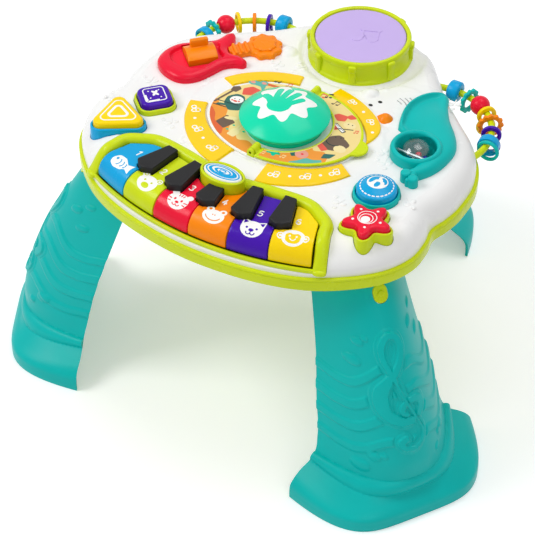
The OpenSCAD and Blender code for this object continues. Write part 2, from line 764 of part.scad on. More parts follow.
// Each bead: angle on its bow, kind, colour
right_beads = [[92, "drum", blue], [77, "gear", teal], [63, "ball", red], [51, "eight", yellow],
    [39, "gear", orange], [24, "eight", purple], [12, "band", blue], [4, "hoop", teal]];
left_beads = [[8, "band", blue], [18, "gear", teal], [31, "ball", red], [43.5, "hoop", yellow],
    [57.5, "eight", orange], [71, "eight", purple], [85, "drum", blue]];

// A flat ring of inner radius r hung so that it rests on the rail
module hung_ring(r, w, t, teeth = 0) {
    drop = r - rail_rod_r - fit;
    translate([0, -drop, -t / 2]) difference() {
        union() {
            cylinder(r = r + w, h = t);
            if (teeth > 0) for (k = [0:teeth - 1]) rotate([0, 0, 360 * k / teeth]) translate([r + w, 0, 0])
                cylinder(r = 1.3, h = t, $fn = 16);
        }
        translate([0, 0, -1]) cylinder(r = r, h = t + 2);
    }
}

module bead(b) {
    if (b[1] == "ball") difference() {
        sphere(r = 9.5);
        translate([0, 0, -15]) cylinder(r = bead_bore, h = 30);
    }
    if (b[1] == "drum") difference() {
        rotate_extrude() polygon([[bead_bore, -6], [8.5, -6], [10, -4.5], [10, 4.5], [8.5, 6],
            [bead_bore, 6]]);
        translate([0, 0, -15]) cylinder(r = bead_bore, h = 30);
    }
    if (b[1] == "gear") hung_ring(7.5, 4, 3.6, 12);
    if (b[1] == "hoop") rotate([0, 0, 40]) hung_ring(8, 3, 3.6);
    if (b[1] == "band") hung_ring(8, 2.4, 8);
    if (b[1] == "eight") {
        r = 5.6;
        w = 4;
        translate([0, rail_rod_r + fit - r, 0]) difference() {
            union() for (y = [0, -13]) translate([0, y, -1.8]) cylinder(r = r + w, h = 3.6);
            for (y = [0, -13]) translate([0, y, -3]) cylinder(r = r, h = 6);
        }
    }
}

// side is 1 for the right rail and -1 for the left
module bead_at(b, side) {
    color(b[2]) mirror([side < 0 ? 1 : 0, 0, 0])
        translate([rail_at[0], rail_at[1], rail_z]) rotate([0, 0, b[0]]) translate([rail_bow_r, 0, 0])
            rotate([90, 0, 0]) bead(b);
}

// ---------- Legs ----------
// Leg sections: share of the way from the ring to the table (below 0: share of the foot),
// how far the corners come in, half width less the foot's, bulge, fullness of the curve
leg_sections = [[-1, 0, 0, 75, 4.5], [-0.6, 0.3, 1.8, 74.3, 4.5], [-0.45, 1.5, 7, 72.2, 4.1],
    [-0.33, 3.2, 13.5, 69.3, 3.7], [-0.28, 3.6, 17.5, 70.6, 3.4], [-0.06, 4.5, 24, 71.5, 2.8],
    [0, 5.5, 29, 68, 2.6], [0.09, 9.4, 34, 70.5, 2.3], [0.31, 19.5, 38.5, 67.5, 2],
    [0.53, 33.3, 45.5, 65, 2], [0.75, 48, 50.5, 58.5, 2], [1, 65, 55.5, 47, 2]];
leg_points = 12;

function leg_height(s) = s < 0 ? foot_h * (1 + s) : foot_h + s * (base_z - foot_h);

// Half of a closed loop: the outer curve from one corner to the other
function leg_curve(q, t) = let (w = foot_half_w - q[2] - t, b = q[3] - t, n = 2 * leg_points)
    [for (i = [0:n]) let (s = sin(90 * (i / leg_points - 1)))
        [leg_reach - q[1] + b * (1 - pow(abs(s), q[4])), w * s]];

function leg_loop(q, lean) = let (z = leg_height(q[0]),
        shift = lean * max(z - foot_h, 0) / (base_z - foot_h))
    [for (p = concat(leg_curve(q, 0), reversed(leg_curve(q, leg_wall)))) [p[0], p[1] + shift, z]];

latch_slope = 32;
latch_up = 14;
latch_w = 7;
latch_len = 9;

// Place of the latch: on the leg's outer face, square to it
module at_latch(lean) {
    top = leg_sections[len(leg_sections) - 1];
    translate([leg_reach - top[1] + top[3] + latch_up * tan(latch_slope) - 0.6, 0.93 * lean,
        base_z - latch_up])
        rotate([0, 90 - latch_slope, 0]) children();
}

// Oval plate, long way down the leg, from depth z0 to z1 along the latch's axis
module oval_plate(g, z0, z1) {
    prism([for (side = [1, -1], k = [0:12]) let (a = 15 * k - 90 * side)
        [side * (latch_len - latch_w) + (latch_w + g) * cos(a), (latch_w + g) * sin(a)]], z0, z1);
}

module leg(angle, lean) {
    n = 4 * leg_points + 2;
    rings = len(leg_sections);
    points = [for (q = leg_sections) each leg_loop(q, lean)];
    top = leg_sections[rings - 1];
    ends = [for (r = [0, rings - 1], i = [0:2 * leg_points - 1]) let (a = r * n + i, b = r * n + n - 1 - i)
        each (r == 0 ? [[a, b, b - 1], [a, b - 1, a + 1]] : [[a, b - 1, b], [a, a + 1, b - 1]])];
    color(teal) rotate([0, 0, angle]) difference() {
        union() {
            polyhedron(points, concat(skin(n, rings, 0, false), ends), 4);
            translate([0, lean, base_z - leg_wall]) linear_extrude(leg_wall)
                polygon(leg_curve(top, leg_wall / 2));
            translate([0, lean, 0]) block([leg_tongue[0], -leg_tongue[2], base_z - 1],
                [leg_tongue[1], leg_tongue[2], floor_z + 6]);
        }
        at_latch(lean) oval_plate(fit, -latch_len, latch_len);
    }
}

leg_tongue = [148, 160, 18];

module latch(angle, lean) {
    color(lime) rotate([0, 0, angle]) at_latch(lean) {
        oval_plate(0, -leg_wall - latch_travel, 0.8);
        translate([0, 0, 0.5]) cylinder(r = 3, h = 1.8);
    }
}

// ---------- Base, inside pieces and fixings ----------
leg_angles = [90, 210, 330];
leg_leans = [0, front_leg_lean, -front_leg_lean];
screw_places = [[150, -8], [-150, -8], [46, -77], [-46, -77], [63, 119], [-63, 119]];
boss_seam_z = rim_z;
boards = [[-147, -100, -103, -26], [108, -102, 152, -28], [-34, -42, 34, 26], [-16, 112, 16, 146]];
board_low_z = board_top_z - board_t;
post_places = [[-141, -94], [-109, -94], [-141, -32], [-109, -32], [114, -34], [146, -34], [114, -92],
    [140, -98], [-12, 116], [12, 142], [0, -131], [-58, -125], [58, -125]];
bay = [60, 50];
bay_at = [0, -20];
bay_wall = 4;
battery_r = 7.25;
battery_l = 50.5;
door_t = 2.2;
speaker_at = [75, 94];
speaker_r = 20;
switch_at = [62, -22];
switch_travel = 8;

module base_shell() {
    hollow = grow(outline, -wall - 0.5);
    color(lime) difference() {
        union() {
            difference() {
                prism(grow(outline, rim_lip), base_z, rim_z);
                prism(hollow, floor_z, rim_z + 1);
            }
            for (p = screw_places) rod(p, 4.5, floor_z - 1, boss_seam_z);
            for (p = post_places) rod(p, 3, floor_z - 1, board_low_z);
            rod(speaker_at, 8, floor_z - 1, speaker_low_z);
            battery_bay();
        }
        for (p = screw_places) {
            rod(p, pin_r + 0.2, base_z - 1, rim_z + 1);
            rod(p, 3.2, base_z - 1, base_z + 6);
        }
        for (i = [0:2]) rotate([0, 0, leg_angles[i]]) translate([0, leg_leans[i], 0])
            block([leg_tongue[0] - fit, -leg_tongue[2] - fit, base_z - 1],
                [leg_tongue[1] + fit, leg_tongue[2] + fit, rim_z]);
        block([bay_at[0] - bay[0] / 2 - 2, bay_at[1] - bay[1] / 2 - 2, base_z - 1],
            [bay_at[0] + bay[0] / 2 + 2, bay_at[1] + bay[1] / 2 + 2, floor_z]);
        block([switch_at[0] - 3.3, switch_at[1] - 3.3, base_z - 1],
            [switch_at[0] + switch_travel + 3.3, switch_at[1] + 3.3, floor_z + 1]);
    }
}

module battery_bay() {
    top = floor_z + 2 * battery_r + 1.2;
    translate([bay_at[0], bay_at[1], 0]) difference() {
        block([-bay[0] / 2 - bay_wall, -bay[1] / 2 - bay_wall, floor_z - 1],
            [bay[0] / 2 + bay_wall, bay[1] / 2 + bay_wall, board_low_z]);
        block([-bay[0] / 2, -bay[1] / 2, base_z - 1], [bay[0] / 2, bay[1] / 2, top]);
    }
}

module battery_door() {
    x = bay[0] / 2 + 2 - fit;
    y = bay[1] / 2 + 2 - fit;
    color(lime) difference() {
        block([bay_at[0] - x, bay_at[1] - y, base_z], [bay_at[0] + x, bay_at[1] + y, base_z + door_t]);
        for (s = [-2:2]) block([bay_at[0] - 12, bay_at[1] + 4 * s - 0.6, base_z - 1],
            [bay_at[0] + 12, bay_at[1] + 4 * s + 0.6, base_z + 0.8]);
    }
}

module batteries() {
    color("#3a3f45") for (s = [-1:1]) translate([bay_at[0] - battery_l / 2, bay_at[1] + s * 15.4,
        base_z + door_t + fit + battery_r])
        rotate([0, 90, 0]) {
            cylinder(r = battery_r, h = battery_l - 1.5);
            cylinder(r = 2.7, h = battery_l);
        }
}

speaker_low_z = under_z - 18;

module speaker() {
    color("#3b3b3b") translate([speaker_at[0], speaker_at[1], 0]) rotate_extrude()
        polygon([[0, speaker_low_z], [11, speaker_low_z], [11, speaker_low_z + 7],
            [speaker_r - 1, under_z - 4],
            [speaker_r, under_z - 3], [speaker_r, under_z - fit], [speaker_r - 3, under_z - fit],
            [8, speaker_low_z + 10], [0, speaker_low_z + 10]]);
}

module power_switch() {
    color("#262626") {
        block([switch_at[0] - 3, switch_at[1] - 3, base_z - 1.2],
            [switch_at[0] + 3, switch_at[1] + 3, floor_z + 1]);
        block([switch_at[0] - 6, switch_at[1] - 5, floor_z + fit],
            [switch_at[0] + 6, switch_at[1] + 5, floor_z + 3]);
    }
}

module circuit_boards() {
    color("#1d6b3a") {
        for (b = boards) block([b[0], b[1], board_low_z], [b[2], b[3], board_top_z]);
        prism(concat(sector_front(plunger_r + 9, fan_half - 2),
            reversed(sector_front(plunger_r - 6, fan_half - 2))),
            board_low_z, board_top_z);
    }
    color("#d8d8d0") {
        for (p = [square_at, triangle_at, round_at, star_at, book_at, drum_at])
            rod(p, 5, board_top_z, board_top_z + pad_h);
        for (k = [0:key_count - 1]) rod(fan(key_pitch * (k - 2.5), plunger_r), 3.5, board_top_z,
            board_top_z + pad_h);
    }
}

module shell_screws() {
    color("#b9bcc0") for (p = screw_places) {
        rod(p, 3, base_z + 3.4, base_z + 6);
        rod(p, pin_r, base_z + 5, boss_seam_z + 12);
    }
}

module steel_pins() {
    color("#c4c8cc") {
        translate([lug_xs[0] - 3, hinge_y, hinge_z]) rotate([0, 90, 0])
            cylinder(r = pin_r, h = lug_xs[5] - lug_xs[0] + 6);
        at_strummer() translate([-strum_l / 2 - 4, 0, strum_hinge_z]) rotate([0, 90, 0])
            cylinder(r = pin_r, h = strum_l + 8);
        translate([well_at[0] - well_r - 1.9, well_at[1], ball_z]) rotate([0, 90, 0])
            cylinder(r = pin_r, h = 2 * well_r + 3.8);
        for (s = [-1, 1]) translate([0, -book_y + s * hinge_reach + 6.7, page_hinge_z]) rotate([90, 0, 0])
            cylinder(r = 1.2, h = 13.4);
    }
}

// ---------- Top shell ----------
module top_shell() {
    color(shell_white) difference() {
        union() {
            shell_body();
            for (p = screw_places) rod(p, 4, boss_seam_z, under_z + 1);
            for (s = [-1, 1]) at_strummer() block([s * (strum_l / 2 + 3) - 2, -4, strum_hinge_z - 4],
                [s * (strum_l / 2 + 3) + 2, 4, under_z + 1]);
        }
        for (p = screw_places) rod(p, pin_r + 0.05, boss_seam_z - 1, boss_seam_z + 14);
        at_strummer() translate([-strum_l, 0, strum_hinge_z]) rotate([0, 90, 0])
            cylinder(r = pin_r + running, h = 2 * strum_l);
        prism(frame_plan(fit), strip_z, deck_z + 1);
        prism(mode_plan(3 + fit), rim_z, deck_z + 1);
        prism(square_outline(bezel_w + fit), rim_z, deck_z + 1);
        prism(triangle_outline(bezel_w + fit), rim_z, deck_z + 1);
        prism(star_outline(bezel_w + fit), rim_z, deck_z + 1);
        rod(round_at, round_r + bezel_w + fit, rim_z, deck_z + 1);
        rod(drum_at, 6 + fit, rim_z, deck_z + 1);
        rod(book_at, neck_r + fit + 0.1, rim_z, deck_z + 1);
        rod(well_at, well_r + 2 + fit, rim_z, deck_z + 1);
        strummer_window();
        rail_bow(rail_rod_r + fit);
        for (k = [-2:2]) translate([speaker_at[0], speaker_at[1], 0]) rotate([0, 0, -40])
            block([-9, 5 * k - 0.8, under_z - 1], [9, 5 * k + 0.8, deck_z + 1]);
    }
}

base_shell();
top_shell();
leg(leg_angles[0], leg_leans[0]);  // leg_back
leg(leg_angles[1], leg_leans[1]);  // leg_left
leg(leg_angles[2], leg_leans[2]);  // leg_right
latch(leg_angles[0], leg_leans[0]);  // latch_back
latch(leg_angles[1], leg_leans[1]);  // latch_left
latch(leg_angles[2], leg_leans[2]);  // latch_right
piano_frame();
key(0);  // key_1
key(1);  // key_2
key(2);  // key_3
key(3);  // key_4
key(4);  // key_5
key(5);  // key_6
black_keys();
mode_button();
lime_bezels();
blue_bezel();
teal_bezel();
square_button();
triangle_button();
round_button();
star_button();
guitar_body();
guitar_neck();
guitar_strummer();
drum_rim();
drum_head();
centre_dome();
picture_plate();
flip_page();
light_arcs();
horn();
rattle_ball();
bird_face();
bead_rails();
bead_at(right_beads[0], 1);  // bead_r1
bead_at(right_beads[1], 1);  // bead_r2
bead_at(right_beads[2], 1);  // bead_r3
bead_at(right_beads[3], 1);  // bead_r4
bead_at(right_beads[4], 1);  // bead_r5
bead_at(right_beads[5], 1);  // bead_r6
bead_at(right_beads[6], 1);  // bead_r7
bead_at(right_beads[7], 1);  // bead_r8
bead_at(left_beads[0], -1);  // bead_l1
bead_at(left_beads[1], -1);  // bead_l2
bead_at(left_beads[2], -1);  // bead_l3
bead_at(left_beads[3], -1);  // bead_l4
bead_at(left_beads[4], -1);  // bead_l5
bead_at(left_beads[5], -1);  // bead_l6
bead_at(left_beads[6], -1);  // bead_l7
steel_pins();
circuit_boards();
batteries();
battery_door();
speaker();
shell_screws();
power_switch();
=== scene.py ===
import math

import bpy
import numpy as np
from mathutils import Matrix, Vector


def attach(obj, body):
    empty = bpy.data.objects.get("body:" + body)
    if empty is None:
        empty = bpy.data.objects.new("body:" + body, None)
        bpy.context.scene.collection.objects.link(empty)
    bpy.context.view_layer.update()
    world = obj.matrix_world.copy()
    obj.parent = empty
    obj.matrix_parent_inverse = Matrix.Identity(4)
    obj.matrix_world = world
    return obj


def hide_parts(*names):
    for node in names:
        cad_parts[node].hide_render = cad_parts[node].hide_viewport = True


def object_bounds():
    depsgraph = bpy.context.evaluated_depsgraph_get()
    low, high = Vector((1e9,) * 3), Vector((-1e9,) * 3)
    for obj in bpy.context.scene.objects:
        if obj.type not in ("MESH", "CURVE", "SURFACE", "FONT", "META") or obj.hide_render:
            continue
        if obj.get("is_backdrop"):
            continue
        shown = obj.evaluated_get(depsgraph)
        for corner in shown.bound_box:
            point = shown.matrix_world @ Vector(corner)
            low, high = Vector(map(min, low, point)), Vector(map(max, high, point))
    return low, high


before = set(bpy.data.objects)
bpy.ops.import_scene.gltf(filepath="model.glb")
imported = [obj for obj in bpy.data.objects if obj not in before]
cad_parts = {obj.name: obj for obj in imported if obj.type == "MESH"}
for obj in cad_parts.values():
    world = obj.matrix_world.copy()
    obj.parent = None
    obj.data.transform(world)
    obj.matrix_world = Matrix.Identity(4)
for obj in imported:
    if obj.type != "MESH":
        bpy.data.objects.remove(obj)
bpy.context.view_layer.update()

# Looks of the musical activity table. Shapes are worked out in millimetres in the model's own
# frame: Z up, the floor at z 0, the piano towards -Y and the drum at +Y.

# ---------- Camera ----------
camera_data = bpy.data.cameras.new("camera")
camera_data.sensor_width = 36.0
camera_data.lens = 135.2
camera_data.clip_start = 0.05
camera_data.clip_end = 30.0
camera = bpy.data.objects.new("camera", camera_data)
camera.location = (0.7998, -1.2387, 1.4188)
camera.rotation_euler = Vector((-0.4104, 0.6182, -0.6704)).to_track_quat("-Z", "Y").to_euler()
bpy.context.scene.collection.objects.link(camera)
bpy.context.scene.camera = camera

# ---------- Sizes shared with the solids ----------
DECK = 268.0  # the top cover's flat
SEAM = 240.5  # where cover and tray meet
BASE = 226.5  # the tray's floor
HALF_W = 178.0  # half the table's width
WALL = 2.5  # the mouldings' wall
FIT = 0.3  # the gap round a piece that drops into another
FAN_Y = 140.0  # the middle about which the keys fan out
HINGE_R, KEY_R = 236.0, 302.5  # the keys' hinge and front, from that middle
KEY_TOP, ROLL = 270.0, 17.0  # the keys' top and the radius of their rolled front
PITCH = 7.5  # degrees from key to key
BOOK = np.array([0.0, -5.0])  # the middle of plate, page and dome
STRUM, STRUM_TURN = np.array([-124.0, 36.0]), math.radians(49.5)
WELL = np.array([123.0, 25.0])  # the rattle ball's well
DRUM_AT = np.array([0.0, 128.0])
PLATE, BORE = np.array([78.0, 58.0]), 36.6  # the picture plate's reach and its hole
PIN_Y, PIN_Z = 51.0, 274.4  # the page's hinge pins, from the book's middle and from the floor
BALL_Z = 266.0  # the rattle ball's middle
RAIL_R, RAIL_AT = 64.0, (96.7, 86, 250)  # the right rail's bow and the middle of its arc
SQUARE_AT, SQUARE_TURN = np.array([-120.0, -44.0]), math.radians(-40)
TRIANGLE_AT, TRIANGLE_TURN = np.array([-132.0, -85.0]), math.radians(5)
ROUND_AT = np.array([123.0, -44.0])
STAR_AT, STAR_TURN = np.array([138.6, -85.6]), math.radians(2.5)
MODE_AT = np.array([0.0, -106.0])
FRAME_LOW = 245.3  # the piano frame's underside
LEG_X = 201.0  # how far out a leg's two side edges stand at the floor
LEAN = math.radians(32)  # how far a leg's latch lies back
READ_TURN = math.radians(33.6)  # the way in which the prints are read


# ---------- Curves and outlines ----------
def between(a, b, c, d, steps):
    """Catmull-Rom: from b to c the curve is half of 2b + (c-a)t + (2a-5b+4c-d)t2 + (3b-a-3c+d)t3."""
    t = (np.arange(steps) / steps)[:, None, None]
    q = 0.5 * (2 * b + (c - a) * t + (2 * a - 5 * b + 4 * c - d) * t**2 + (3 * b - a - 3 * c + d) * t**3)
    return q.transpose(1, 0, 2).reshape(-1, b.shape[1])


def closed_curve(points, steps):
    """A smooth closed curve through a loop of points."""
    p = np.asarray(points, float)
    return between(np.roll(p, 1, 0), p, np.roll(p, -1, 0), np.roll(p, -2, 0), steps)


def open_curve(points, steps):
    """The same curve through an open row of points, whose two ends count twice."""
    p = np.asarray(points, float)
    p = np.vstack([p[:1], p, p[-1:]])
    return np.vstack([between(p[:-3], p[1:-2], p[2:-1], p[3:], steps), p[-1:]])


def outward(outline):
    """Unit normals of a counter-clockwise outline: the chord between a point's neighbours, turned to the
    right."""
    d = np.roll(outline, -1, 0) - np.roll(outline, 1, 0)
    d /= np.linalg.norm(d, axis=1, keepdims=True)
    return np.column_stack([d[:, 1], -d[:, 0]])


def grown(outline, g):
    """Each point moved out by g along its normal."""
    return outline + outward(outline) * g


def unit(a):
    """The points (cos a, sin a)."""
    return np.column_stack([np.cos(a), np.sin(a)])


def round_turn(n):
    """n angles evenly round a circle."""
    return np.arange(n) * 2 * np.pi / n


def oval(a, b, n=96, at=(0, 0)):
    """Points (a cos t, b sin t) about a centre."""
    return unit(round_turn(n)) * [a, b] + at


def disc(r, n=96, at=(0, 0)):
    """An oval that is as wide as it is high."""
    return oval(r, r, n, at)


def turned(points, angle, at=(0, 0)):
    """Plane points turned by an angle in radians and moved."""
    c, s = math.cos(angle), math.sin(angle)
    return np.asarray(points, float) @ np.array([[c, s], [-s, c]]) + np.asarray(at, float)


def oblong(a, b):
    """The four corners of a rectangle that reaches a and b to each side."""
    return [[-a, -b], [a, -b], [a, b], [-a, b]]


def soft_polygon(corners, r, steps=14):
    """A convex polygon whose corners are arcs of radius r: each arc runs from one side's normal to the
    next."""
    p = np.asarray(corners, float)
    before, after = p - np.roll(p, 1, 0), np.roll(p, -1, 0) - p
    start = np.arctan2(-before[:, 0], before[:, 1])
    turn = np.arctan2(before[:, 0] * after[:, 1] - before[:, 1] * after[:, 0], (before * after).sum(1))
    a = start[:, None] + turn[:, None] * np.linspace(0, 1, steps + 1)
    return (p[:, None] + r * np.stack([np.cos(a), np.sin(a)], -1)).reshape(-1, 2)


def three_corners(reach):
    """The corners of an even triangle."""
    return reach * unit(np.radians([0, 120, 240]))


def square_outline(g):
    """The square button, turned 40 degrees, its corners rounded to 8 mm, grown by g."""
    return turned(soft_polygon(oblong(7.5, 7.5), 8 + g), SQUARE_TURN, SQUARE_AT)


def triangle_outline(g):
    """The triangle button: three corners 18.5 mm from its middle, rounded to 7.5 mm, grown by g."""
    return turned(soft_polygon(three_corners(18.5), 7.5 + g, 20), TRIANGLE_TURN, TRIANGLE_AT)


def star_outline(g):
    """The star button: radius 22.5 (0.62 + 0.38 ((1 + cos 5a) / 2) ^ 1.25), grown by g."""
    a = round_turn(160)
    r = 22.5 * (0.62 + 0.38 * ((1 + np.cos(5 * a)) / 2) ** 1.25)
    return grown(turned(unit(a) * r[:, None], STAR_TURN, STAR_AT), g)


def round_outline(g):
    """The round button, grown by g."""
    return disc(18.8 + g, 96, ROUND_AT)


def fan(angle, r):
    """A point at an angle in degrees and a radius about the keys' common centre."""
    a = np.radians(angle)
    return np.stack([r * np.sin(a), FAN_Y - r * np.cos(a)], -1)


def smooth(x):
    """0 below 0, 1 above 1, and 3x2 - 2x3 between."""
    x = np.clip(x, 0, 1)
    return x * x * (3 - 2 * x)


def distance_to(points, line):
    """Distance of plane points from a polyline, and how far along it the nearest place is.
    On each segment the nearest place is the share ((p - a) . d) / (d . d), held between 0 and 1."""
    a, d = line[:-1], np.diff(line, axis=0)
    best, where = [], []
    for part in np.array_split(points, max(1, len(points) * len(a) // 2_000_000 + 1)):
        t = ((part[:, None] - a) * d).sum(-1) / (d * d).sum(-1)
        t = np.clip(t, 0, 1)
        gap = np.linalg.norm(part[:, None] - a - t[..., None] * d, axis=-1)
        k = gap.argmin(1)
        rows = np.arange(len(part))
        best.append(gap[rows, k])
        where.append(k + t[rows, k])
    return np.concatenate(best), np.concatenate(where)


# ---------- Shapes: (points, faces) in millimetres ----------
def facing_out(points, faces):
    """Turns all faces round if the volume they close, a sixth of the sum of a . (b x c) over their
    triangles, is negative."""
    volume = 0.0
    for f in faces:
        for i in range(1, f.shape[1] - 1):
            a, b, c = points[f[:, 0]], points[f[:, i]], points[f[:, i + 1]]
            volume += (a * np.cross(b, c)).sum()
    return points, faces if volume > 0 else [f[:, ::-1] for f in faces]


def stack(rings, low=True, high=True, closed=False):
    """A skin through rings of n points: quads join ring to ring, and flat caps close the two ends. With
    closed, the last ring joins the first instead. Rings run counter-clockwise about the way they climb."""
    rings = np.asarray(rings, float)
    r, n = rings.shape[:2]
    row = np.arange(r if closed else r - 1)[:, None]
    col, nxt = np.arange(n)[None], (np.arange(n)[None] + 1) % n
    a, b = row * n, (row + 1) % r * n
    faces = [np.stack([a + col, a + nxt, b + nxt, b + col], -1).reshape(-1, 4)]
    if not closed and low:
        faces.append(np.arange(n)[::-1][None])
    if not closed and high:
        faces.append((r - 1) * n + np.arange(n)[None])
    return facing_out(rings.reshape(-1, 3), faces)


def joined(*shapes):
    """Several shapes as one: points in a row, corner numbers moved along."""
    points, faces, start = [], [], 0
    for p, f in shapes:
        points.append(p)
        faces += [g + start for g in f]
        start += len(p)
    return np.concatenate(points), faces


def moved(shape, turn=0.0, at=(0, 0, 0)):
    """A shape turned about Z by radians and moved."""
    c, s = math.cos(turn), math.sin(turn)
    return shape[0] @ np.array([[c, s, 0], [-s, c, 0], [0, 0, 1]]) + np.asarray(at, float), shape[1]


def mirrored(shape):
    """The other hand of a shape: x changes its sign and each face runs the other way."""
    return shape[0] * [-1, 1, 1], [f[:, ::-1] for f in shape[1]]


def ring_at(outline, z):
    """A plane outline lifted to height z."""
    return np.column_stack([outline, np.full(len(outline), float(z)) if np.isscalar(z) else z])


def block_edges(z0, z1, r0, r1, out=0.0, draft=0.0, steps=5):
    """Profile (growth, height) of a wall from z0 to z1 with quarter-round edges r0 below and r1 above.
    draft is how far the wall comes in on its way up."""
    t = np.linspace(0, np.pi / 2, steps)
    low = np.column_stack([-r0 + r0 * np.sin(t), z0 + r0 - r0 * np.cos(t)])
    high = np.column_stack([-r1 + r1 * np.cos(t), z1 - r1 + r1 * np.sin(t)])
    p = np.vstack([low, high])
    p[:, 0] += out - draft * (p[:, 1] - z0) / (z1 - z0)
    return p


def boss(a, b, at, profile, crown, rows, n=40):
    """A crowned moulding on an oval: a button, a bolt head or a note head."""
    return crowned(lambda g: oval(a + g, b + g, n, at), profile, np.array(at), crown, rows)


def moulding(outline, profile):
    """A solid whose rings are the outline (a function of its growth) at each (growth, height) of the
    profile."""
    return stack([ring_at(outline(g), z) for g, z in profile])


def crowned(outline, profile, at, crown, rows=10):
    """A moulding whose top goes on to its middle over shrinking rings, rising by crown (1 - share
    squared)."""
    rings = [ring_at(outline(g), z) for g, z in profile]
    share = np.linspace(1, 0.02, rows)[1:, None, None]
    last = rings[-1]
    inner = np.concatenate([at + share * (last[:, :2] - at),
                            last[:, 2:] + crown * (1 - share**2) + 0 * last[:, :1]], -1)
    return stack(np.concatenate([np.array(rings), inner]))


def lathe(profile, at=(0, 0), n=96, closed=False):
    """Radius and height pairs carried round a vertical axis, bottom first when they go outwards then up."""
    a = round_turn(n)
    p = np.asarray(profile, float)
    x, y = p[:, :1] * np.cos(a) + at[0], p[:, :1] * np.sin(a) + at[1]
    return stack(np.stack([x, y, p[:, 1:] + 0 * x], -1), closed=closed)


def pipe(path, r, n=16):
    """A round rod along a path: at each point a ring r (side cos t + lift sin t), side lying flat."""
    path = np.asarray(path, float)
    way = np.gradient(path, axis=0)
    way /= np.linalg.norm(way, axis=1, keepdims=True)
    side = np.cross(way, [0, 0, 1.0])
    side /= np.linalg.norm(side, axis=1, keepdims=True)
    lift = np.cross(way, side)
    t = round_turn(n)[None, :, None]
    return stack(path[:, None] + r * (side[:, None] * np.cos(t) + lift[:, None] * np.sin(t)))


def soft_box(low, high, r=1.0, corner=1.5):
    """A box with rounded upright corners and quarter-round edges above and below."""
    low, high = np.asarray(low, float), np.asarray(high, float)
    a, b = low[:2] + corner, high[:2] - corner
    corners = [[a[0], a[1]], [b[0], a[1]], [b[0], b[1]], [a[0], b[1]]]
    return moulding(lambda g: soft_polygon(corners, max(corner + g, 0.05), 5),
                    block_edges(low[2], high[2], r, r, steps=4))


def slab(outline, z0, z1):
    """A thin print or plate: one outline at two heights."""
    return stack([ring_at(outline, z0), ring_at(outline, z1)])


def stroke(path, w, ends=5):
    """Outline of a line of width w with round ends: its right side, an arc, its left side, an arc."""
    path = np.asarray(path, float)
    way = np.gradient(path, axis=0)
    way /= np.linalg.norm(way, axis=1, keepdims=True)
    right = np.column_stack([way[:, 1], -way[:, 0]]) * w / 2
    t = np.linspace(0, np.pi, ends + 2)[1:-1, None]
    far = path[-1] + np.cos(t) * right[-1] + np.sin(t) * way[-1] * w / 2
    near = path[0] - np.cos(t) * right[0] - np.sin(t) * way[0] * w / 2
    return np.vstack([path + right, far, (path - right)[::-1], near])


def over(shape, surface):
    """A flat shape laid on a surface: (x, y, height above it) becomes surface(x, y, height)."""
    return facing_out(surface(*shape[0].T), shape[1])


def sheet(outline, z0, z1, rows=6):
    """A thin print that can bend: its top runs to its middle over shrinking rings."""
    at = outline.mean(0)
    inner = [ring_at(at + s * (outline - at), z1) for s in np.linspace(1, 0.02, rows)]
    return stack([ring_at(outline, z0)] + inner)


def ribbon(path, w, z0, z1):
    """A thin flat line along a path, one strip of quads, narrowed to round ends."""
    path = np.asarray(path, float)
    way = np.gradient(path, axis=0)
    step = np.linalg.norm(way, axis=1, keepdims=True)
    left = np.column_stack([-way[:, 1], way[:, 0]]) / step * w / 2
    ends = []
    for end, sign in ((0, -1), (-1, 1)):
        for s in (0.5, 0.87, 0.99):
            mid = path[end] + sign * way[end] / step[end] * s * w / 2
            k = left[end] * math.sqrt(1 - s * s)
            ends.append((mid - k, mid + k))
    sides = ends[2::-1] + list(zip(path - left, path + left)) + ends[3:]
    return stack([[(*a, z0), (*b, z0), (*b, z1), (*a, z1)] for a, b in sides])


def hoop(outer, inner, z0, z1, r, steps=4):
    """A ring between two outlines that match point for point, with all four edges rounded to r."""
    way = outer - inner
    way = way / np.linalg.norm(way, axis=1, keepdims=True) * r
    rings = []
    for edge, sign, low, climb in ((outer, -1, z0 + r, -1), (outer, -1, z1 - r, 1), (inner, 1, z1 - r, 1),
                                   (inner, 1, z0 + r, -1)):
        turn = np.linspace(0, np.pi / 2, steps)
        if (edge is outer) == (climb < 0):
            turn = turn[::-1]
        rings += [ring_at(edge + sign * way * (1 - math.cos(t)), low + climb * r * math.sin(t))
                  for t in turn]
    return stack(rings, closed=True)


def even(path, n, endpoint=True):
    """A path divided evenly into n points."""
    along = np.concatenate([[0], np.cumsum(np.linalg.norm(np.diff(path, axis=0), axis=1))])
    t = np.linspace(0, along[-1], n, endpoint=endpoint)
    return np.column_stack([np.interp(t, along, path[:, 0]), np.interp(t, along, path[:, 1])])


def eased(outline, n=64, passes=4):
    """An outline divided evenly into n points, whose corners are rounded by averaging each with its
    neighbours."""
    outline = np.asarray(outline, float)
    p = even(np.vstack([outline, outline[:1]]), n, False)
    for _ in range(passes):
        p = (np.roll(p, 1, 0) + 2 * p + np.roll(p, -1, 0)) / 4
    return p


# ---------- Finishes ----------
def linear(hex_colour):
    """sRGB hex to linear: c / 12.92 below 0.04045, else ((c + 0.055) / 1.055) ^ 2.4."""
    c = np.array([int(hex_colour[i : i + 2], 16) for i in (1, 3, 5)]) / 255
    return (*np.where(c <= 0.04045, c / 12.92, ((c + 0.055) / 1.055) ** 2.4).tolist(), 1.0)


BEGUN_WITH = ("Principled BSDF", "Material Output", "Background")


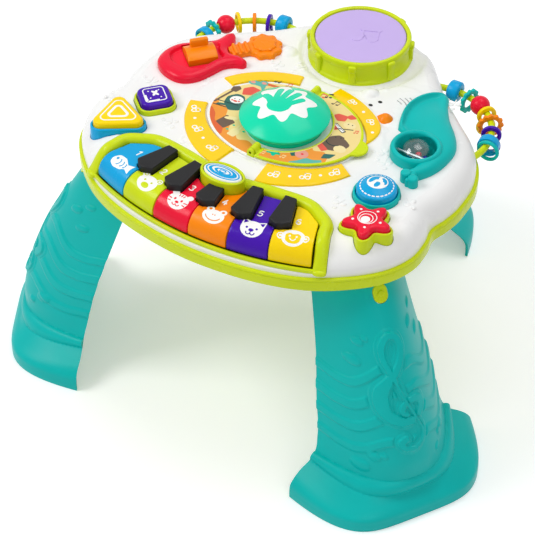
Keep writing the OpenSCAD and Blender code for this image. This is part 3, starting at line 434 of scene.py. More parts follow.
def add(tree, kind, settings=None, *feeds, **links):
    """Adds a node, sets its values by name or number, and feeds its inputs from other nodes' outputs:
    feeds go to the first inputs in turn, links to the inputs they name. A node that the tree began with
    is only fed."""
    node = tree.nodes[kind] if kind in BEGUN_WITH else tree.nodes.new("ShaderNode" + kind)
    for key, value in (settings or {}).items():
        if isinstance(key, int) or key in node.inputs:
            node.inputs[key].default_value = value
        else:
            setattr(node, key, value)
    for key, source in [*enumerate(feeds), *links.items()]:
        tree.links.new(source, node.inputs[key.replace("_", " ") if isinstance(key, str) else key])
    return node


def blank(name):
    """A new material, with its node tree and the object's own coordinates."""
    material = bpy.data.materials.new(name)
    material.use_nodes = True
    return material, material.node_tree, add(material.node_tree, "TexCoord").outputs["Object"]


def ramp_of(tree, source, low, high, *colours):
    """A ramp between two colours whose stops lie at low and high."""
    ramp = add(tree, "ValToRGB", None, source)
    for stop, place, colour in zip(ramp.color_ramp.elements, (low, high), colours):
        stop.position, stop.color = place, colour
    return ramp.outputs["Color"]


def seen_ray(tree):
    """1 for a ray from the lens, off gloss or through glass, else 0: the largest of the three flags."""
    ray = add(tree, "LightPath").outputs
    most = ray["Is Camera Ray"]
    for flag in ("Is Glossy Ray", "Is Transmission Ray"):
        most = add(tree, "Math", {"operation": "MAXIMUM"}, most, ray[flag]).outputs[0]
    return most


def plastic(name, colour, rough, grain_mm, depth_mm, mottle=0.03, coat=0.0, mirror=0.2):
    """An opaque moulded plastic. Flow in the mould leaves the pigment and the gloss a little uneven over
    some 30 mm; the spark-eroded steel of the mould leaves a grain of the given width and depth."""
    material, tree, place = blank(name)
    flow = add(tree, "TexNoise", {"Scale": 33.0, "Detail": 3.0, "Roughness": 0.5},
               Vector=place).outputs["Fac"]
    grain = add(tree, "TexNoise", {"Scale": 1000.0 / grain_mm, "Detail": 2.0}, Vector=place)
    pale, full = ((*(min(c * k, 1) for c in linear(colour)[:3]), 1) for k in (1 - mottle, 1 + mottle))
    gloss = add(tree, "MapRange", {"From Min": 0.3, "From Max": 0.7, "To Min": rough * 0.85,
                                   "To Max": rough * 1.15}, flow)
    bump = add(tree, "Bump", {"Strength": 0.6, "Distance": depth_mm / 1000}, Height=grain.outputs["Fac"])
    add(tree, "Principled BSDF", {"IOR": 1.5, "Specular IOR Level": mirror, "Coat Weight": coat,
                                  "Coat Roughness": 0.08},
        Base_Color=ramp_of(tree, flow, 0.3, 0.7, pale, full),
        Roughness=gloss.outputs["Result"], Normal=bump.outputs["Normal"])
    return material


# ABS off a polished mould: a clear, slightly soft gloss. Grain drawn at 0.9 mm so that it shows at all.
WHITE = plastic("abs_gloss_moulded_white", "#f3f3f2", 0.26, 0.9, 0.006, 0.006)
LIME = plastic("abs_gloss_moulded_lime", "#cfe012", 0.26, 0.9, 0.006)
YELLOW = plastic("abs_gloss_moulded_yellow", "#ffd800", 0.24, 0.9, 0.006)
RED = plastic("abs_gloss_moulded_red", "#ee0f35", 0.22, 0.9, 0.006)
ORANGE = plastic("abs_gloss_moulded_orange", "#ff8a05", 0.26, 0.9, 0.006)
PURPLE = plastic("abs_gloss_moulded_purple", "#4306ab", 0.24, 0.9, 0.006)
BLUE = plastic("abs_gloss_moulded_blue", "#00a4de", 0.24, 0.9, 0.006)
GREEN = plastic("abs_gloss_moulded_green", "#00dcae", 0.2, 0.9, 0.005)
# Polypropylene off an etched mould: satin, with a fine even grain that breaks up the highlights.
TEAL = plastic("pp_satin_moulded_teal", "#00b9b5", 0.36, 0.7, 0.012, 0.02, mirror=0.16)
BLACK = plastic("abs_satin_moulded_black", "#1b1b1d", 0.42, 0.6, 0.015, 0.08)
LILAC = plastic("abs_satin_moulded_lilac", "#c8b2ea", 0.4, 0.6, 0.012, 0.015)
# Light lenses: tinted polycarbonate, glossier than the shell round it.
LENS = plastic("pc_tinted_moulded_amber", "#ffd000", 0.18, 1.2, 0.004, 0.04, 0.2)
CHARCOAL = plastic("abs_satin_moulded_charcoal", "#2c2e31", 0.45, 0.6, 0.012, 0.05)

# Screen-printed and pad-printed inks: thin, flat and a little duller than the plastic under them.
INKS = {name: plastic("screen_printed_ink_" + name, colour, 0.42, 0.5, 0.008, 0.025) for name, colour in {
    "white": "#fbfaf7", "cream": "#f2da92", "straw": "#f6e3a8", "tangerine": "#f09a3c", "rust": "#e0683a",
    "coral": "#e8604f", "pine": "#2f6b62", "sea": "#5fb8a8", "umber": "#6d5a4c", "rose": "#eaa08f",
    "night": "#2b3a3c", "sky": "#00a4de", "scarlet": "#ee0f35", "sun": "#ffd000",
    "mint": "#00c59b"}.items()}


def clear_plastic():
    """Polystyrene moulded clear: a thin wall that light passes straight through. It mirrors the share
    0.05 + 0.55 (1 - cos a)^5 at the angle a, with the faint waves that the cooling leaves."""
    material, tree, place = blank("polystyrene_clear_moulded")
    wave = add(tree, "TexNoise", {"Scale": 90.0, "Detail": 1.0}, Vector=place)
    bump = add(tree, "Bump", {"Strength": 0.3, "Distance": 0.0001},
               Height=wave.outputs["Fac"]).outputs["Normal"]
    mirror = add(tree, "Principled BSDF",
                 {"Base Color": linear("#ffffff"), "Metallic": 1.0, "Roughness": 0.03},
                 Normal=bump)
    clear = add(tree, "BsdfTransparent", {"Color": (0.95, 0.98, 0.975, 1)})
    away = add(tree, "LayerWeight", {"Blend": 0.5}, Normal=bump)
    steep = add(tree, "Math", {"operation": "POWER", 1: 5.0}, away.outputs["Facing"])
    share = add(tree, "MapRange", {"To Min": 0.05, "To Max": 0.6}, steep.outputs[0])
    both = add(tree, "MixShader", None, share.outputs["Result"], clear.outputs[0], mirror.outputs[0])
    add(tree, "Material Output", None, both.outputs[0])
    return material


def ground_steel():
    """Drawn and ground steel wire: fine lines round the pin, drawn at 0.4 mm."""
    material, tree, place = blank("steel_drawn_zinc_plated")
    lines = add(tree, "TexNoise", {"Scale": 2500.0, "Detail": 2.0}, Vector=place)
    gloss = add(tree, "MapRange", {"To Min": 0.22, "To Max": 0.42}, lines.outputs["Fac"])
    add(tree, "Principled BSDF", {"Base Color": linear("#c9ccd0"), "Metallic": 1.0},
        Roughness=gloss.outputs["Result"])
    return material


def circuit_board():
    """Glass-epoxy board under green solder mask: copper tracks 1.2 mm apart show as paler lines."""
    material, tree, place = blank("glass_epoxy_etched_green")
    tracks = add(tree, "TexWave", {"Scale": 130.0, "Distortion": 3.0}, Vector=place)
    mask = ramp_of(tree, tracks.outputs["Fac"], 0.6, 0.75, linear("#0f5a2c"), linear("#3a8a4c"))
    add(tree, "Principled BSDF", {"Roughness": 0.35}, Base_Color=mask)
    return material


CLEAR = clear_plastic()
STEEL = ground_steel()
BOARD = circuit_board()


def put(name, shape, material, body="table", crisp=32.0, stands_for=()):
    """Makes one piece of a shape in millimetres, its faces smooth except over edges sharper than crisp
    degrees. It rides on a body. A piece that stands for solids hides them."""
    points, faces = shape
    mesh = bpy.data.meshes.new(name)
    corners = np.concatenate([f.ravel() for f in faces]).astype(np.int32)
    counts = np.concatenate([np.full(len(f), f.shape[1]) for f in faces])
    mesh.vertices.add(len(points))
    mesh.vertices.foreach_set("co", (points * 0.001).astype(np.float32).ravel())
    mesh.loops.add(len(corners))
    mesh.loops.foreach_set("vertex_index", corners)
    mesh.polygons.add(len(counts))
    mesh.polygons.foreach_set("loop_start", (np.cumsum(counts) - counts).astype(np.int32))
    mesh.polygons.foreach_set("use_smooth", np.ones(len(counts), bool))
    mesh.update(calc_edges=True)
    mesh.set_sharp_from_angle(angle=math.radians(crisp))
    mesh.materials.append(material)
    piece = bpy.data.objects.new(name, mesh)
    bpy.context.scene.collection.objects.link(piece)
    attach(piece, body)
    if stands_for:
        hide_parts(*stands_for)
    return piece


def cut(piece, shapes, crisp=32.0):
    """Takes closed shapes away from a piece, one Boolean each, and keeps what is left as its mesh."""
    tools = []
    for points, faces in shapes:
        mesh = bpy.data.meshes.new("cutter")
        mesh.from_pydata((points * 0.001).tolist(), [], [f.tolist() for g in faces for f in g])
        tool = bpy.data.objects.new("cutter", mesh)
        bpy.context.scene.collection.objects.link(tool)
        modifier = piece.modifiers.new("cut", "BOOLEAN")
        modifier.operation = "DIFFERENCE"
        modifier.solver = "MANIFOLD"
        modifier.object = tool
        tools.append(tool)
    bpy.context.view_layer.update()
    made = bpy.data.meshes.new_from_object(piece.evaluated_get(bpy.context.evaluated_depsgraph_get()))
    piece.modifiers.clear()
    made.name = piece.name
    piece.data = made
    made.polygons.foreach_set("use_smooth", np.ones(len(made.polygons), bool))
    made.set_sharp_from_angle(angle=math.radians(crisp))
    for tool in tools:
        bpy.data.objects.remove(tool)


# ---------- Table top outline ----------
half_outline = np.array([[0.25, -164.5], [0.47, -156], [0.66, -142], [0.82, -121], [0.935, -98],
                         [0.993, -72], [0.99, -48], [0.967, -29], [0.99, -10], [1, 12], [0.975, 46],
                         [0.885, 76], [0.71, 104], [0.55, 128], [0.44, 150], [0.28, 177]]) * [HALF_W, 1]
table_outline = closed_curve(np.vstack([[0, -168], half_outline, [0, 190], half_outline[::-1] * [-1, 1]]),
                             14)
table_normal = outward(table_outline)
table_front = np.clip((-60 - table_outline[:, 1]) / 60, 0, 1)


def shoulder_ring(across, up, inset=0.0, top=DECK):
    """A ring of the rolled shoulder: in by the share `across` of its width and up by the share `up` of its
    height. The front's shoulder is 0.8 wider and sags by 0.3 h (1 - h)."""
    d = inset + across * 17 * (1 + 0.8 * table_front)
    h = up * (1 - 0.3 * table_front * (1 - up))
    return np.column_stack([table_outline - table_normal * d[:, None], SEAM + h * (top - SEAM)])


def deck_relief(x, y):
    """Height of the deck's relief above its flat: a plateau that carries the light arcs, the lower ground
    round the drum, and low round bumps."""
    px, py = x - BOOK[0], y - BOOK[1]
    reach = np.hypot(px, py) + 1e-6
    beyond = reach - reach / np.sqrt((px / 81) ** 2 + (py / 61) ** 2 + 1e-9)
    side = -py / reach
    width = 14 + 11 * np.clip(side, 0, 1) ** 1.5
    gap = 1 - 0.75 * smooth((px / reach - 0.93) / 0.05)
    rise = 0.9 * gap * smooth((width + 4.5 - beyond) / 4) * smooth((beyond + 1) / 2)
    from_drum = np.hypot(x, y - DRUM_AT[1])
    low = -2.4 * smooth((64 - np.hypot(x, y - 134)) / 5) * smooth((from_drum - 51) / 3)
    rise = rise * smooth((from_drum - 56) / 5)
    bumps = np.zeros_like(x)
    for bx, by, r, h in ((40.4, 80.5, 8.5, 4.0), (-60, 93, 9.0, 4.0), (80, 40, 4.5, 0.8), (48, 93, 5, 1.2)):
        bumps += h * np.sqrt(np.clip(1 - ((x - bx) ** 2 + (y - by) ** 2) / r**2, 0, 1)) ** 1.3
    bird = smooth((36 - np.hypot(x - 72, (y - 78) * 1.1)) / 4)
    return rise + low + bumps + bird * smooth((from_drum - 58) / 6)


def top_cover():
    """The white moulded cover: one profile that starts under the deck, comes down inside the shoulder,
    turns over at the seam, climbs the rolled shoulder and runs in over the deck, lifted there by its
    relief."""
    shape = open_curve([[0, 0], [0, 0.27], [0.06, 0.46], [0.19, 0.65], [0.39, 0.81], [0.67, 0.93], [1, 1]],
                       5)
    outer = [shoulder_ring(a, u) for a, u in shape]
    inner = [shoulder_ring(a, u, WALL, DECK - WALL) for a, u in shape[::5]]
    middle = np.array([0, 10.0])

    def run_in(ring, shares):
        return [np.column_stack([middle + s * (ring[:, :2] - middle), ring[:, 2]]) for s in shares]

    under = run_in(inner[-1], np.linspace(0.01, 1, 6)[:-1])
    deck = run_in(outer[-1], 1 - np.arange(1, 109) / 109 * 0.99)
    rings = np.array(under + inner[::-1] + outer + deck)
    face = rings[len(under) + len(inner) :]
    k = np.clip((face[..., 2] - SEAM - 6) / (DECK - SEAM - 6), 0, 1)
    face[..., 2] += k * deck_relief(face[..., 0], face[..., 1])
    return stack(rings)


# ---------- Piano ----------
LEN = KEY_R - HINGE_R
FLAT_END = KEY_R - ROLL  # where a key's flat top ends and its roll begins
KEY_GAP = 0.35  # half the gap between two keys
tube_half = [[0, -99.5, 275], [50, -92.5, 275], [81, -90, 275], [98, -97, 275]]
tube_half += [[*fan(a, HINGE_R + s * LEN), 275 - d] for a, s, d in
              ((24.0, 0.48, 0), (23.9, 0.65, 0.5), (23.9, 0.81, 3.5), (23.9, 0.93, 12))]
tube_half += [[*fan(23.9, KEY_R + 3.2), 249.5]]
tube_half = np.array(tube_half)
tube_path = open_curve(np.vstack([tube_half[:0:-1] * [-1, 1, 1], tube_half]), 9)
tube_way = np.gradient(tube_path[:, :2], axis=0)
tube_way /= np.linalg.norm(tube_way, axis=1, keepdims=True)
tube_left = np.column_stack([-tube_way[:, 1], tube_way[:, 0]])


def frame_plan(g):
    """The whole piano frame from above: the tube's outer side and an arc in front of the keys."""
    a = np.linspace(25.3, -25.3, 60)
    return np.vstack([tube_path[:, :2] + tube_left * (6 + g), fan(a, KEY_R + 20)])


def mode_outline(g):
    """The oval of the mode button's housing, g out from the button."""
    return oval(20 + g, 10.5 + 4 / 3 * g, 96, MODE_AT)


def piano_tube():
    """The lime tube: at each point of its path a section of straight sides under a half round, 12 mm wide
    and 13 high, cut off at the strip before the keys and closed by a round nose at both ends."""
    n = len(tube_path)
    t = np.linspace(np.pi, 0, 17)
    top = tube_path[:, 2]
    r = np.minimum(6, (top - FRAME_LOW) / 2)
    low = np.maximum(top - 13, FRAME_LOW)
    across = np.concatenate([[-6], 6 * np.cos(t), [6]])
    lift = np.concatenate([[0], np.sin(t), [0]])
    rings = np.zeros((n, len(across), 3))
    rings[..., :2] = tube_path[:, None, :2] + across[None, :, None] * -tube_left[:, None]
    rings[..., 2] = (top - r)[:, None] + r[:, None] * lift
    rings[:, [0, -1], 2] = low[:, None]
    rings[..., :] = rings[:, ::-1]
    noses = []
    for end, way in ((0, -1), (-1, 1)):
        for s in (0.35, 0.65, 0.86, 0.97):
            ring = rings[end].copy()
            mid = ring[:, :2].mean(0)
            k = math.sqrt(1 - s * s)
            ring[:, :2] = mid + (ring[:, :2] - mid) * k + tube_way[end] * way * s * 3.2
            ring[:, 2] = FRAME_LOW + (ring[:, 2] - FRAME_LOW) * (0.4 + 0.6 * k)
            noses.append(ring)
    return stack(np.concatenate([noses[3::-1], rings, noses[4:]]))


def cup(outline, width, low, top, inner_low, at, stem):
    """A ring-shaped housing with a floor: up outside, over two rounded edges, down inside, and in along
    its floor to the hole for the stem. The outline is a function of its growth from the button."""
    up = [ring_at(outline(width + g), z) for g, z in block_edges(low, top, 0.4, 1.4, draft=0.5)]
    down = [ring_at(outline(FIT + g), z)
            for g, z in ((0.8, top), (0.25, top - 0.25), (0, top - 0.9), (0, inner_low))]
    edge = outline(0) - at
    hole = at + edge / np.linalg.norm(edge, axis=1, keepdims=True) * stem
    floor = [ring_at(hole, inner_low), ring_at(hole, low)]
    return stack(up + down + floor, closed=True)


def black_plan(k, g):
    """Black key k from above: 10 mm wide at the back, 20.4 at the front, with a blunt point 5.5 mm deep."""
    a = math.radians(PITCH * (k - 2) + 0.7)
    tip = HINGE_R + 0.715 * LEN + 1.2 * g
    w0, w1 = 5 + g, 10.2 + g
    back = HINGE_R + 0.06 * LEN
    right = [[w0, back], [w1, tip - 5.5], [w1 - 0.7, tip - 4.4], [w1 - 2.5, tip - 3.6], [3.5, tip - 0.6],
             [1.2, tip]]
    q = np.array(right + [[-x, r] for x, r in right[::-1]])
    at = np.stack([q[:, 1] * math.sin(a), FAN_Y - q[:, 1] * math.cos(a)], 1)
    return at + q[:, :1] * [math.cos(a), math.sin(a)]


def key_room(k, angle, r):
    """How far inside key k's own space a place is, negative outside: the least of its distances to the two
    gaps, to the black keys beside it, to the tube and to the mode button's housing."""
    a0 = PITCH * (k - 3)
    p = fan(angle, r)
    room = np.minimum(np.radians(angle - a0), np.radians(a0 + PITCH - angle)) * r - KEY_GAP
    for b in (k - 1, k):
        if 0 <= b < 5:
            plan = black_plan(b, 0.7)
            edge = np.vstack([plan, plan[:1]])
            flat = p.reshape(-1, 2)
            gap = distance_to(flat, edge)[0]
            side = np.diff(edge, axis=0)
            turn = (side[:, 0] * (flat[:, None, 1] - edge[:-1, 1])
                    - side[:, 1] * (flat[:, None, 0] - edge[:-1, 0]))
            inside = (turn > 0).all(1) | (turn < 0).all(1)
            room = np.minimum(room, np.where(inside, -gap, gap).reshape(room.shape))
    tube = distance_to(p.reshape(-1, 2), tube_path[:, :2])[0].reshape(room.shape) - 6.5
    behind = p[..., 1] > np.interp(p[..., 0], tube_path[:, 0], tube_path[:, 1])
    room = np.minimum(room, np.where(behind & (r < 262), -np.abs(tube), tube))
    house = np.sqrt((p[..., 0] / 23.8) ** 2 + ((p[..., 1] - MODE_AT[1]) / 15.3) ** 2)
    return np.minimum(room, (house - 1) * 15.5)


def key_surface(s, h):
    """Radius and height at length s along a key and h above its skin: flat to FLAT_END, then round the
    roll."""
    f = np.clip((s - FLAT_END) / ROLL, 0, np.pi / 2)
    past = np.maximum(s - FLAT_END - ROLL * np.pi / 2, 0)
    radius = np.minimum(s, FLAT_END) + (ROLL + h) * np.sin(f)
    return radius, KEY_TOP - ROLL + (ROLL + h) * np.cos(f) - past


def key_shape(k):
    """Key k: rows of one radius. In each row the key reaches from the middle of its widest free place out
    to where its room ends on both sides, found by halving; the rim falls away in a quarter round of 0.9
    mm."""
    flat = np.concatenate([np.arange(240, 276, 0.75), np.arange(276, FLAT_END, 0.4)])
    tried = PITCH * (k - 3) + np.linspace(0.03, 0.97, 61)[None] * PITCH
    room = key_room(k, np.broadcast_to(tried, (len(flat), 61)), flat[:, None] + 0 * tried)
    keep = room.max(1) > 1.0
    flat, best = flat[keep], tried[0, room.argmax(1)][keep]
    limits = []
    for way in (-1, 1):
        near, far = best.copy(), best + way * PITCH
        for _ in range(22):
            half = (near + far) / 2
            free = key_room(k, half, flat) > 0
            near, far = np.where(free, half, near), np.where(free, far, half)
        limits.append(near)
    share = np.concatenate([[0, 0.012, 0.03, 0.055], np.linspace(0.1, 0.9, 13), [0.945, 0.97, 0.988, 1]])
    angle = limits[0][:, None] + (limits[1] - limits[0])[:, None] * share
    s = np.broadcast_to(flat[:, None], angle.shape)
    inset = np.maximum(key_room(k, angle, s), 0)
    roll_end = FLAT_END + ROLL * np.pi / 2
    bent = np.concatenate([np.linspace(FLAT_END, roll_end, 22), [roll_end + 3.2]])
    lo = PITCH * (k - 3) + math.degrees(KEY_GAP / KEY_R)
    hi = PITCH * (k - 2) - math.degrees(KEY_GAP / KEY_R)
    tail = lo + (hi - lo) * share + 0 * bent[:, None]
    angle, s = np.vstack([angle, tail]), np.vstack([s, bent[:, None] + 0 * tail])
    across = np.minimum(share, 1 - share) * math.radians(hi - lo) * KEY_R
    inset = np.vstack([inset, across + 0 * tail])
    sink = 0.9 - np.sqrt(np.clip(0.81 - (0.9 - np.clip(inset, 0, 0.9)) ** 2, 0, 1))
    r, z = key_surface(s, -sink)
    top = np.dstack([fan(angle, r), z])
    r, z = key_surface(np.minimum(s, bent[-1]), -3.0)
    low = np.dstack([fan(angle, r), z])
    return stack(np.concatenate([top[:, ::-1], low], 1)[:, ::-1])


def on_key(k):
    """A map that lays a flat print on key k: x across from the key's middle, y along it, z above its
    skin."""
    a = PITCH * (k - 2.5)

    def place(x, y, h):
        r, z = key_surface(y, h)
        angle = a + np.degrees(x / y)
        return np.column_stack([fan(angle, r), z])

    return place


# ---------- Legs ----------
# Height, how far the corners come in, how much slimmer than the foot, bulge, fullness of the curve
leg_table = np.array([[0, 0, 0, 75, 4.5], [9, 0, 0, 75, 4.5], [17.2, 0.3, 1.5, 74.4, 4.5],
                      [23.7, 1.5, 6.7, 72.2, 4.1], [28.8, 3.2, 13.5, 69.3, 3.7], [35, 4.4, 23, 67.3, 3.1],
                      [43, 5.5, 29, 67.8, 2.6], [59.5, 9.4, 34, 70.5, 2.3], [99.9, 19.5, 38.5, 67.5, 2],
                      [140.3, 33.3, 45.5, 65, 2], [180.6, 48, 50.5, 58.5, 2], [BASE, 65, 55.5, 47, 2]])
clef_path = open_curve([[-6, 86, 3.2], [-10.5, 82.5, 3.2], [-8, 77.5, 2.8], [1, 76, 2.4], [9.5, 81.5, 2.2],
                        [11.8, 90, 2.0], [8.5, 100, 1.8], [3.5, 112, 1.8], [-1, 124, 1.8], [-4.5, 137, 2.0],
                        [-9, 149, 2.4], [-12, 160, 2.4], [-11, 171, 2.6], [-4.5, 179, 2.8], [2.2, 177, 3.0],
                        [4.8, 168, 3.0], [2, 158, 3.0], [-4, 149, 3.2], [-12, 140, 4.0], [-18.5, 130, 5.2],
                        [-20, 118, 5.8], [-17, 109, 5.4], [-9, 104, 5.0], [1, 103, 4.6], [10, 105.5, 4.2],
                        [14.5, 112, 3.8], [12.5, 118.5, 3.4], [5, 121, 3.0], [-2.5, 118, 2.6],
                        [-5, 112, 2.4], [-1, 108.5, 2.0]], 5)
clef_stem = open_curve([[12.5, 92], [10, 99], [5.5, 111], [1.0, 122], [-2.5, 134], [-4, 140]], 6)
note_heads = ((-27, 171, 3.8, 2.0), (-22, 175, 2.6, 1.4), (-33, 153, 5.4, 2.2), (-43, 53, 6.2, 2.0),
              (-33, 66, 4.6, 2.0), (-26, 68, 3.0, 1.4), (24, 176, 4.4, 2.0), (31, 184, 3.2, 1.6),
              (34, 160, 4.0, 1.8), (37, 68, 5.4, 2.0), (29, 58, 3.6, 1.6))


def leg_relief(y, z, s):
    """Relief of a leg's outer face, over width y and height z, with s the share of the half width: a
    half-round ring above the foot that narrows towards the edges, four staff bands that climb towards the
    middle, a treble clef whose strokes are plateaus with bevelled edges on a low ground, and round note
    heads."""
    out = np.abs(s) ** 3
    half = 7.2 - 3.4 * out
    ring = 3.9 * np.sqrt(np.clip(1 - ((z - 33.2 - 6.5 * out) / half) ** 2, 0, 1))
    flat = np.column_stack([y.ravel(), z.ravel()])
    near = (np.abs(flat[:, 0]) < 36) & (np.abs(flat[:, 1] - 128) < 66)
    gap, edge = np.full(len(flat), 40.0), np.full(len(flat), 40.0)
    d, where = distance_to(flat[near], clef_path[:, :2])
    gap[near] = d - np.interp(where, np.arange(len(clef_path)), clef_path[:, 2])
    edge[near] = distance_to(flat[near], clef_stem)[0]
    gap, edge = gap.reshape(y.shape), edge.reshape(y.shape)
    clef = 1.8 * smooth(0.5 - gap / 0.9) + 0.8 * smooth((3.3 - gap) / 1.0)
    groove = -1.5 * smooth(1 - edge / 1.1) * smooth(-gap / 0.6 + 1)
    bands = np.zeros_like(y)
    for middle, width in ((130, 10), (109.5, 11.5), (88.5, 11.5), (67.5, 10)):
        low = (130 - middle) * 0.1
        climb = (22 - low) * smooth((41 + low - np.abs(y)) / 30) + 3 * smooth((np.abs(s) - 0.82) / 0.18)
        across = np.abs(z - middle - climb) / (width / 2)
        bands += 1.5 * smooth((1 - across) / 0.42)
    bands = bands * smooth((gap - 3.0) / 1.4)
    notes = np.zeros_like(y)
    for ny, nz, r, h in note_heads:
        notes += h * np.sqrt(np.clip(1 - ((y - ny) ** 2 + (z - nz) ** 2) / r**2, 0, 1))
    return ring, clef + groove + bands + notes


def foot_sag(s, z):
    """How much higher the sizes are read in the middle of the foot: 7.5 (1 - |s|^3), eased in and out by
    height."""
    return 7.5 * (1 - np.abs(s) ** 3) * smooth(z / 26) * smooth((62 - z) / 26)


def leg_shape(angle, lean):
    """A leg open towards the middle of the table. At each height its section bulges by b (1 - |s| ^
    fullness) across the half width times s. The sizes run smoothly through the table's rows, which are
    read up to 7.5 mm higher in the middle of the foot, so that its ring sags there. The relief is added
    along the face's normal. The inner face lies 3 mm inside."""
    heights = np.concatenate([np.linspace(0, 20, 20), np.linspace(20.7, 46, 44)[:-1],
                              np.linspace(46, 76, 24)[:-1], np.linspace(76, 190, 124)[:-1],
                              np.linspace(190, BASE, 10)])
    rows = leg_table
    slope = np.gradient(rows[:, 1:], rows[:, 0], axis=0)

    def sizes_at(z):
        """Corner, slimming, bulge and fullness at the heights z: cubic Hermite pieces between the rows."""
        k = np.clip(np.searchsorted(rows[:, 0], z, "right") - 1, 0, len(rows) - 2)
        span = (rows[k + 1, 0] - rows[k, 0])[..., None]
        t = (z - rows[k, 0])[..., None] / span
        sizes = ((1 + 2 * t) * (1 - t) ** 2 * rows[k, 1:] + t * (1 - t) ** 2 * span * slope[k]
                 + t * t * (3 - 2 * t) * rows[k + 1, 1:] + t * t * (t - 1) * span * slope[k + 1])
        return (sizes[..., i] for i in range(4))

    u = np.linspace(-1, 1, 300)
    turn = np.pi / 2 * (0.82 * u + 0.18 * u**3)
    s = np.broadcast_to(np.sin(turn)[None], (len(heights), len(u)))
    lift = np.broadcast_to(heights[:, None], s.shape)
    corner, slim, bulge, full = sizes_at(lift + foot_sag(s, lift))
    x = LEG_X - corner + (bulge - 0.2) * (1 - np.abs(s) ** full)
    y = (98.15 - slim) * s
    face = np.dstack([x, y, lift])
    normal = np.cross(np.gradient(face, axis=1), np.gradient(face, axis=0))
    normal /= np.linalg.norm(normal, axis=2, keepdims=True) + 1e-9
    hold = smooth((BASE - lift) / 6) * smooth(lift / 6)
    ring, relief = leg_relief(y, lift, s)
    edge = smooth((1 - np.abs(s)) / 0.012)
    face = face + normal * (hold * (ring + relief * (0.75 + 0.25 * edge)))[..., None]
    si = np.broadcast_to(np.sin(np.pi / 2 * np.linspace(1, -1, 50))[None], (len(heights), 50))
    lift = np.broadcast_to(heights[:, None], si.shape)
    corner, slim, bulge, full = sizes_at(lift + foot_sag(si, lift))
    inner = np.dstack([LEG_X - corner + (bulge - 3.2) * (1 - np.abs(si) ** full), (95.15 - slim) * si,
                       lift])
    rings = np.concatenate([face, inner], 1)
    rings[..., 1] += lean * np.clip((rings[..., 2] - 43) / (BASE - 43), 0, 1)
    top = leg_table[-1]
    st = np.sin(np.pi / 2 * np.linspace(-1, 1, 40))
    lid = np.column_stack([LEG_X - top[1] + (top[3] - 1.5) * (1 - st**2),
                           (98.5 - top[2] - 1.5) * st + lean])
    return moved(joined(stack(rings), slab(lid, BASE - 3, BASE)), math.radians(angle))


def at_latch(shape, angle, lean):
    """Lays a shape drawn in the latch's own frame on the leg's outer face, leaning back by 32 degrees."""
    c, s = math.sin(LEAN), math.cos(LEAN)
    p = shape[0] @ np.array([[c, 0, -s], [0, 1, 0], [s, 0, c]])
    p = p + [LEG_X - 65 + 47 + 14 * math.tan(LEAN) - 0.6, 0.93 * lean, BASE - 14]
    return moved((p, shape[1]), math.radians(angle))


def latch_outline(g):
    """The latch: 14 mm wide, 18 long, its long way down the leg."""
    return soft_polygon(oblong(2, 0.01), 7 + g, 8)


legs = (("back", 90, 0.0), ("left", 210, 5.0), ("right", 330, -5.0))
for side, angle, lean in legs:
    leg = put("leg_" + side + "_moulding", leg_shape(angle, lean), TEAL, crisp=50,
              stands_for=["leg_" + side])
    cut(leg, [at_latch(slab(latch_outline(0.3), -9, 9), angle, lean)], 50)
    button = joined(crowned(latch_outline, block_edges(-5, 0.8, 0.3, 0.9), np.zeros(2), 0.2, 8),
                    boss(3.2, 3.2, (0, 0), block_edges(0.4, 2.2, 0.1, 1.2), 0.1, 5, 32))
    put("latch_" + side + "_button", at_latch(button, angle, lean), LIME, "latch_" + side,
        stands_for=["latch_" + side])


# ---------- Base tray ----------
def base_tray():
    """The lime tray: its profile runs out under the floor, up the outer wall with rounded edges and a bead
    at the seam, and down inside."""
    out = [[3 + g, z] for g, z in block_edges(BASE, SEAM, 1.6, 1.2)]
    out[-5:] = [[3.0, SEAM - 3.6], [2.6, SEAM - 3.2], [3.2, SEAM - 2.4], [3.2, SEAM - 0.9], [2.4, SEAM]]
    ways = [[-60, BASE], [-30, BASE], [-12, BASE], [-8, BASE + 0.6], [-5, BASE]] + [list(p) for p in out]
    ways += [[-3, SEAM], [-3, BASE + 2.5], [-30, BASE + 2.5], [-60, BASE + 2.5]]
    rings = [np.column_stack([table_outline + table_normal * g, np.full(len(table_outline), z)])
             for g, z in ways]
    middle = np.array([0, 5.0])
    for end, place in ((rings[0], 0), (rings[-1], len(rings) + 1)):
        hub = end.copy()
        hub[:, :2] = middle + (end[:, :2] - middle) * 0.02
        rings.insert(place, hub)
    return stack(rings)


tray = put("base_tray", base_tray(), LIME, stands_for=["base_shell"])
screws = ((150, -8), (-150, -8), (46, -77), (-46, -77), (63, 119), (-63, 119))
openings = [moved(slab(np.array(oblong(6.3, 18.3)) + [154, lean], 225, 232),
                  math.radians(angle)) for _, angle, lean in legs]
openings += [slab(soft_polygon([[-30, -45], [30, -45], [30, 5], [-30, 5]], 2, 5), 225, 232)]
openings += [slab(np.array(oblong(7.3, 3.3)) + [66, -22], 225, 232)]
openings += [slab(disc(3.2, 32, p), 225, 232.5) for p in screws]
cut(tray, openings)


# ---------- Top cover ----------
cover = put("top_cover", top_cover(), WHITE, crisp=40, stands_for=["top_shell"])
STRUM_R = 20.0  # the strummer's roller
strum_reach = STRUM_R * math.sin(math.asin(12.5 / STRUM_R) + math.radians(12)) + FIT - 0.4
strum_window = turned(soft_polygon(oblong(14.6, strum_reach), 0.4, 3), STRUM_TURN, STRUM)


def feather_slot(r, a0, a1):
    """A slot 1.3 mm wide that follows an arc about the bird's face."""
    a = np.radians(np.linspace(a0, a1, 16))
    return slab(stroke(62 + r * unit(a), 1.3), 262, 275)


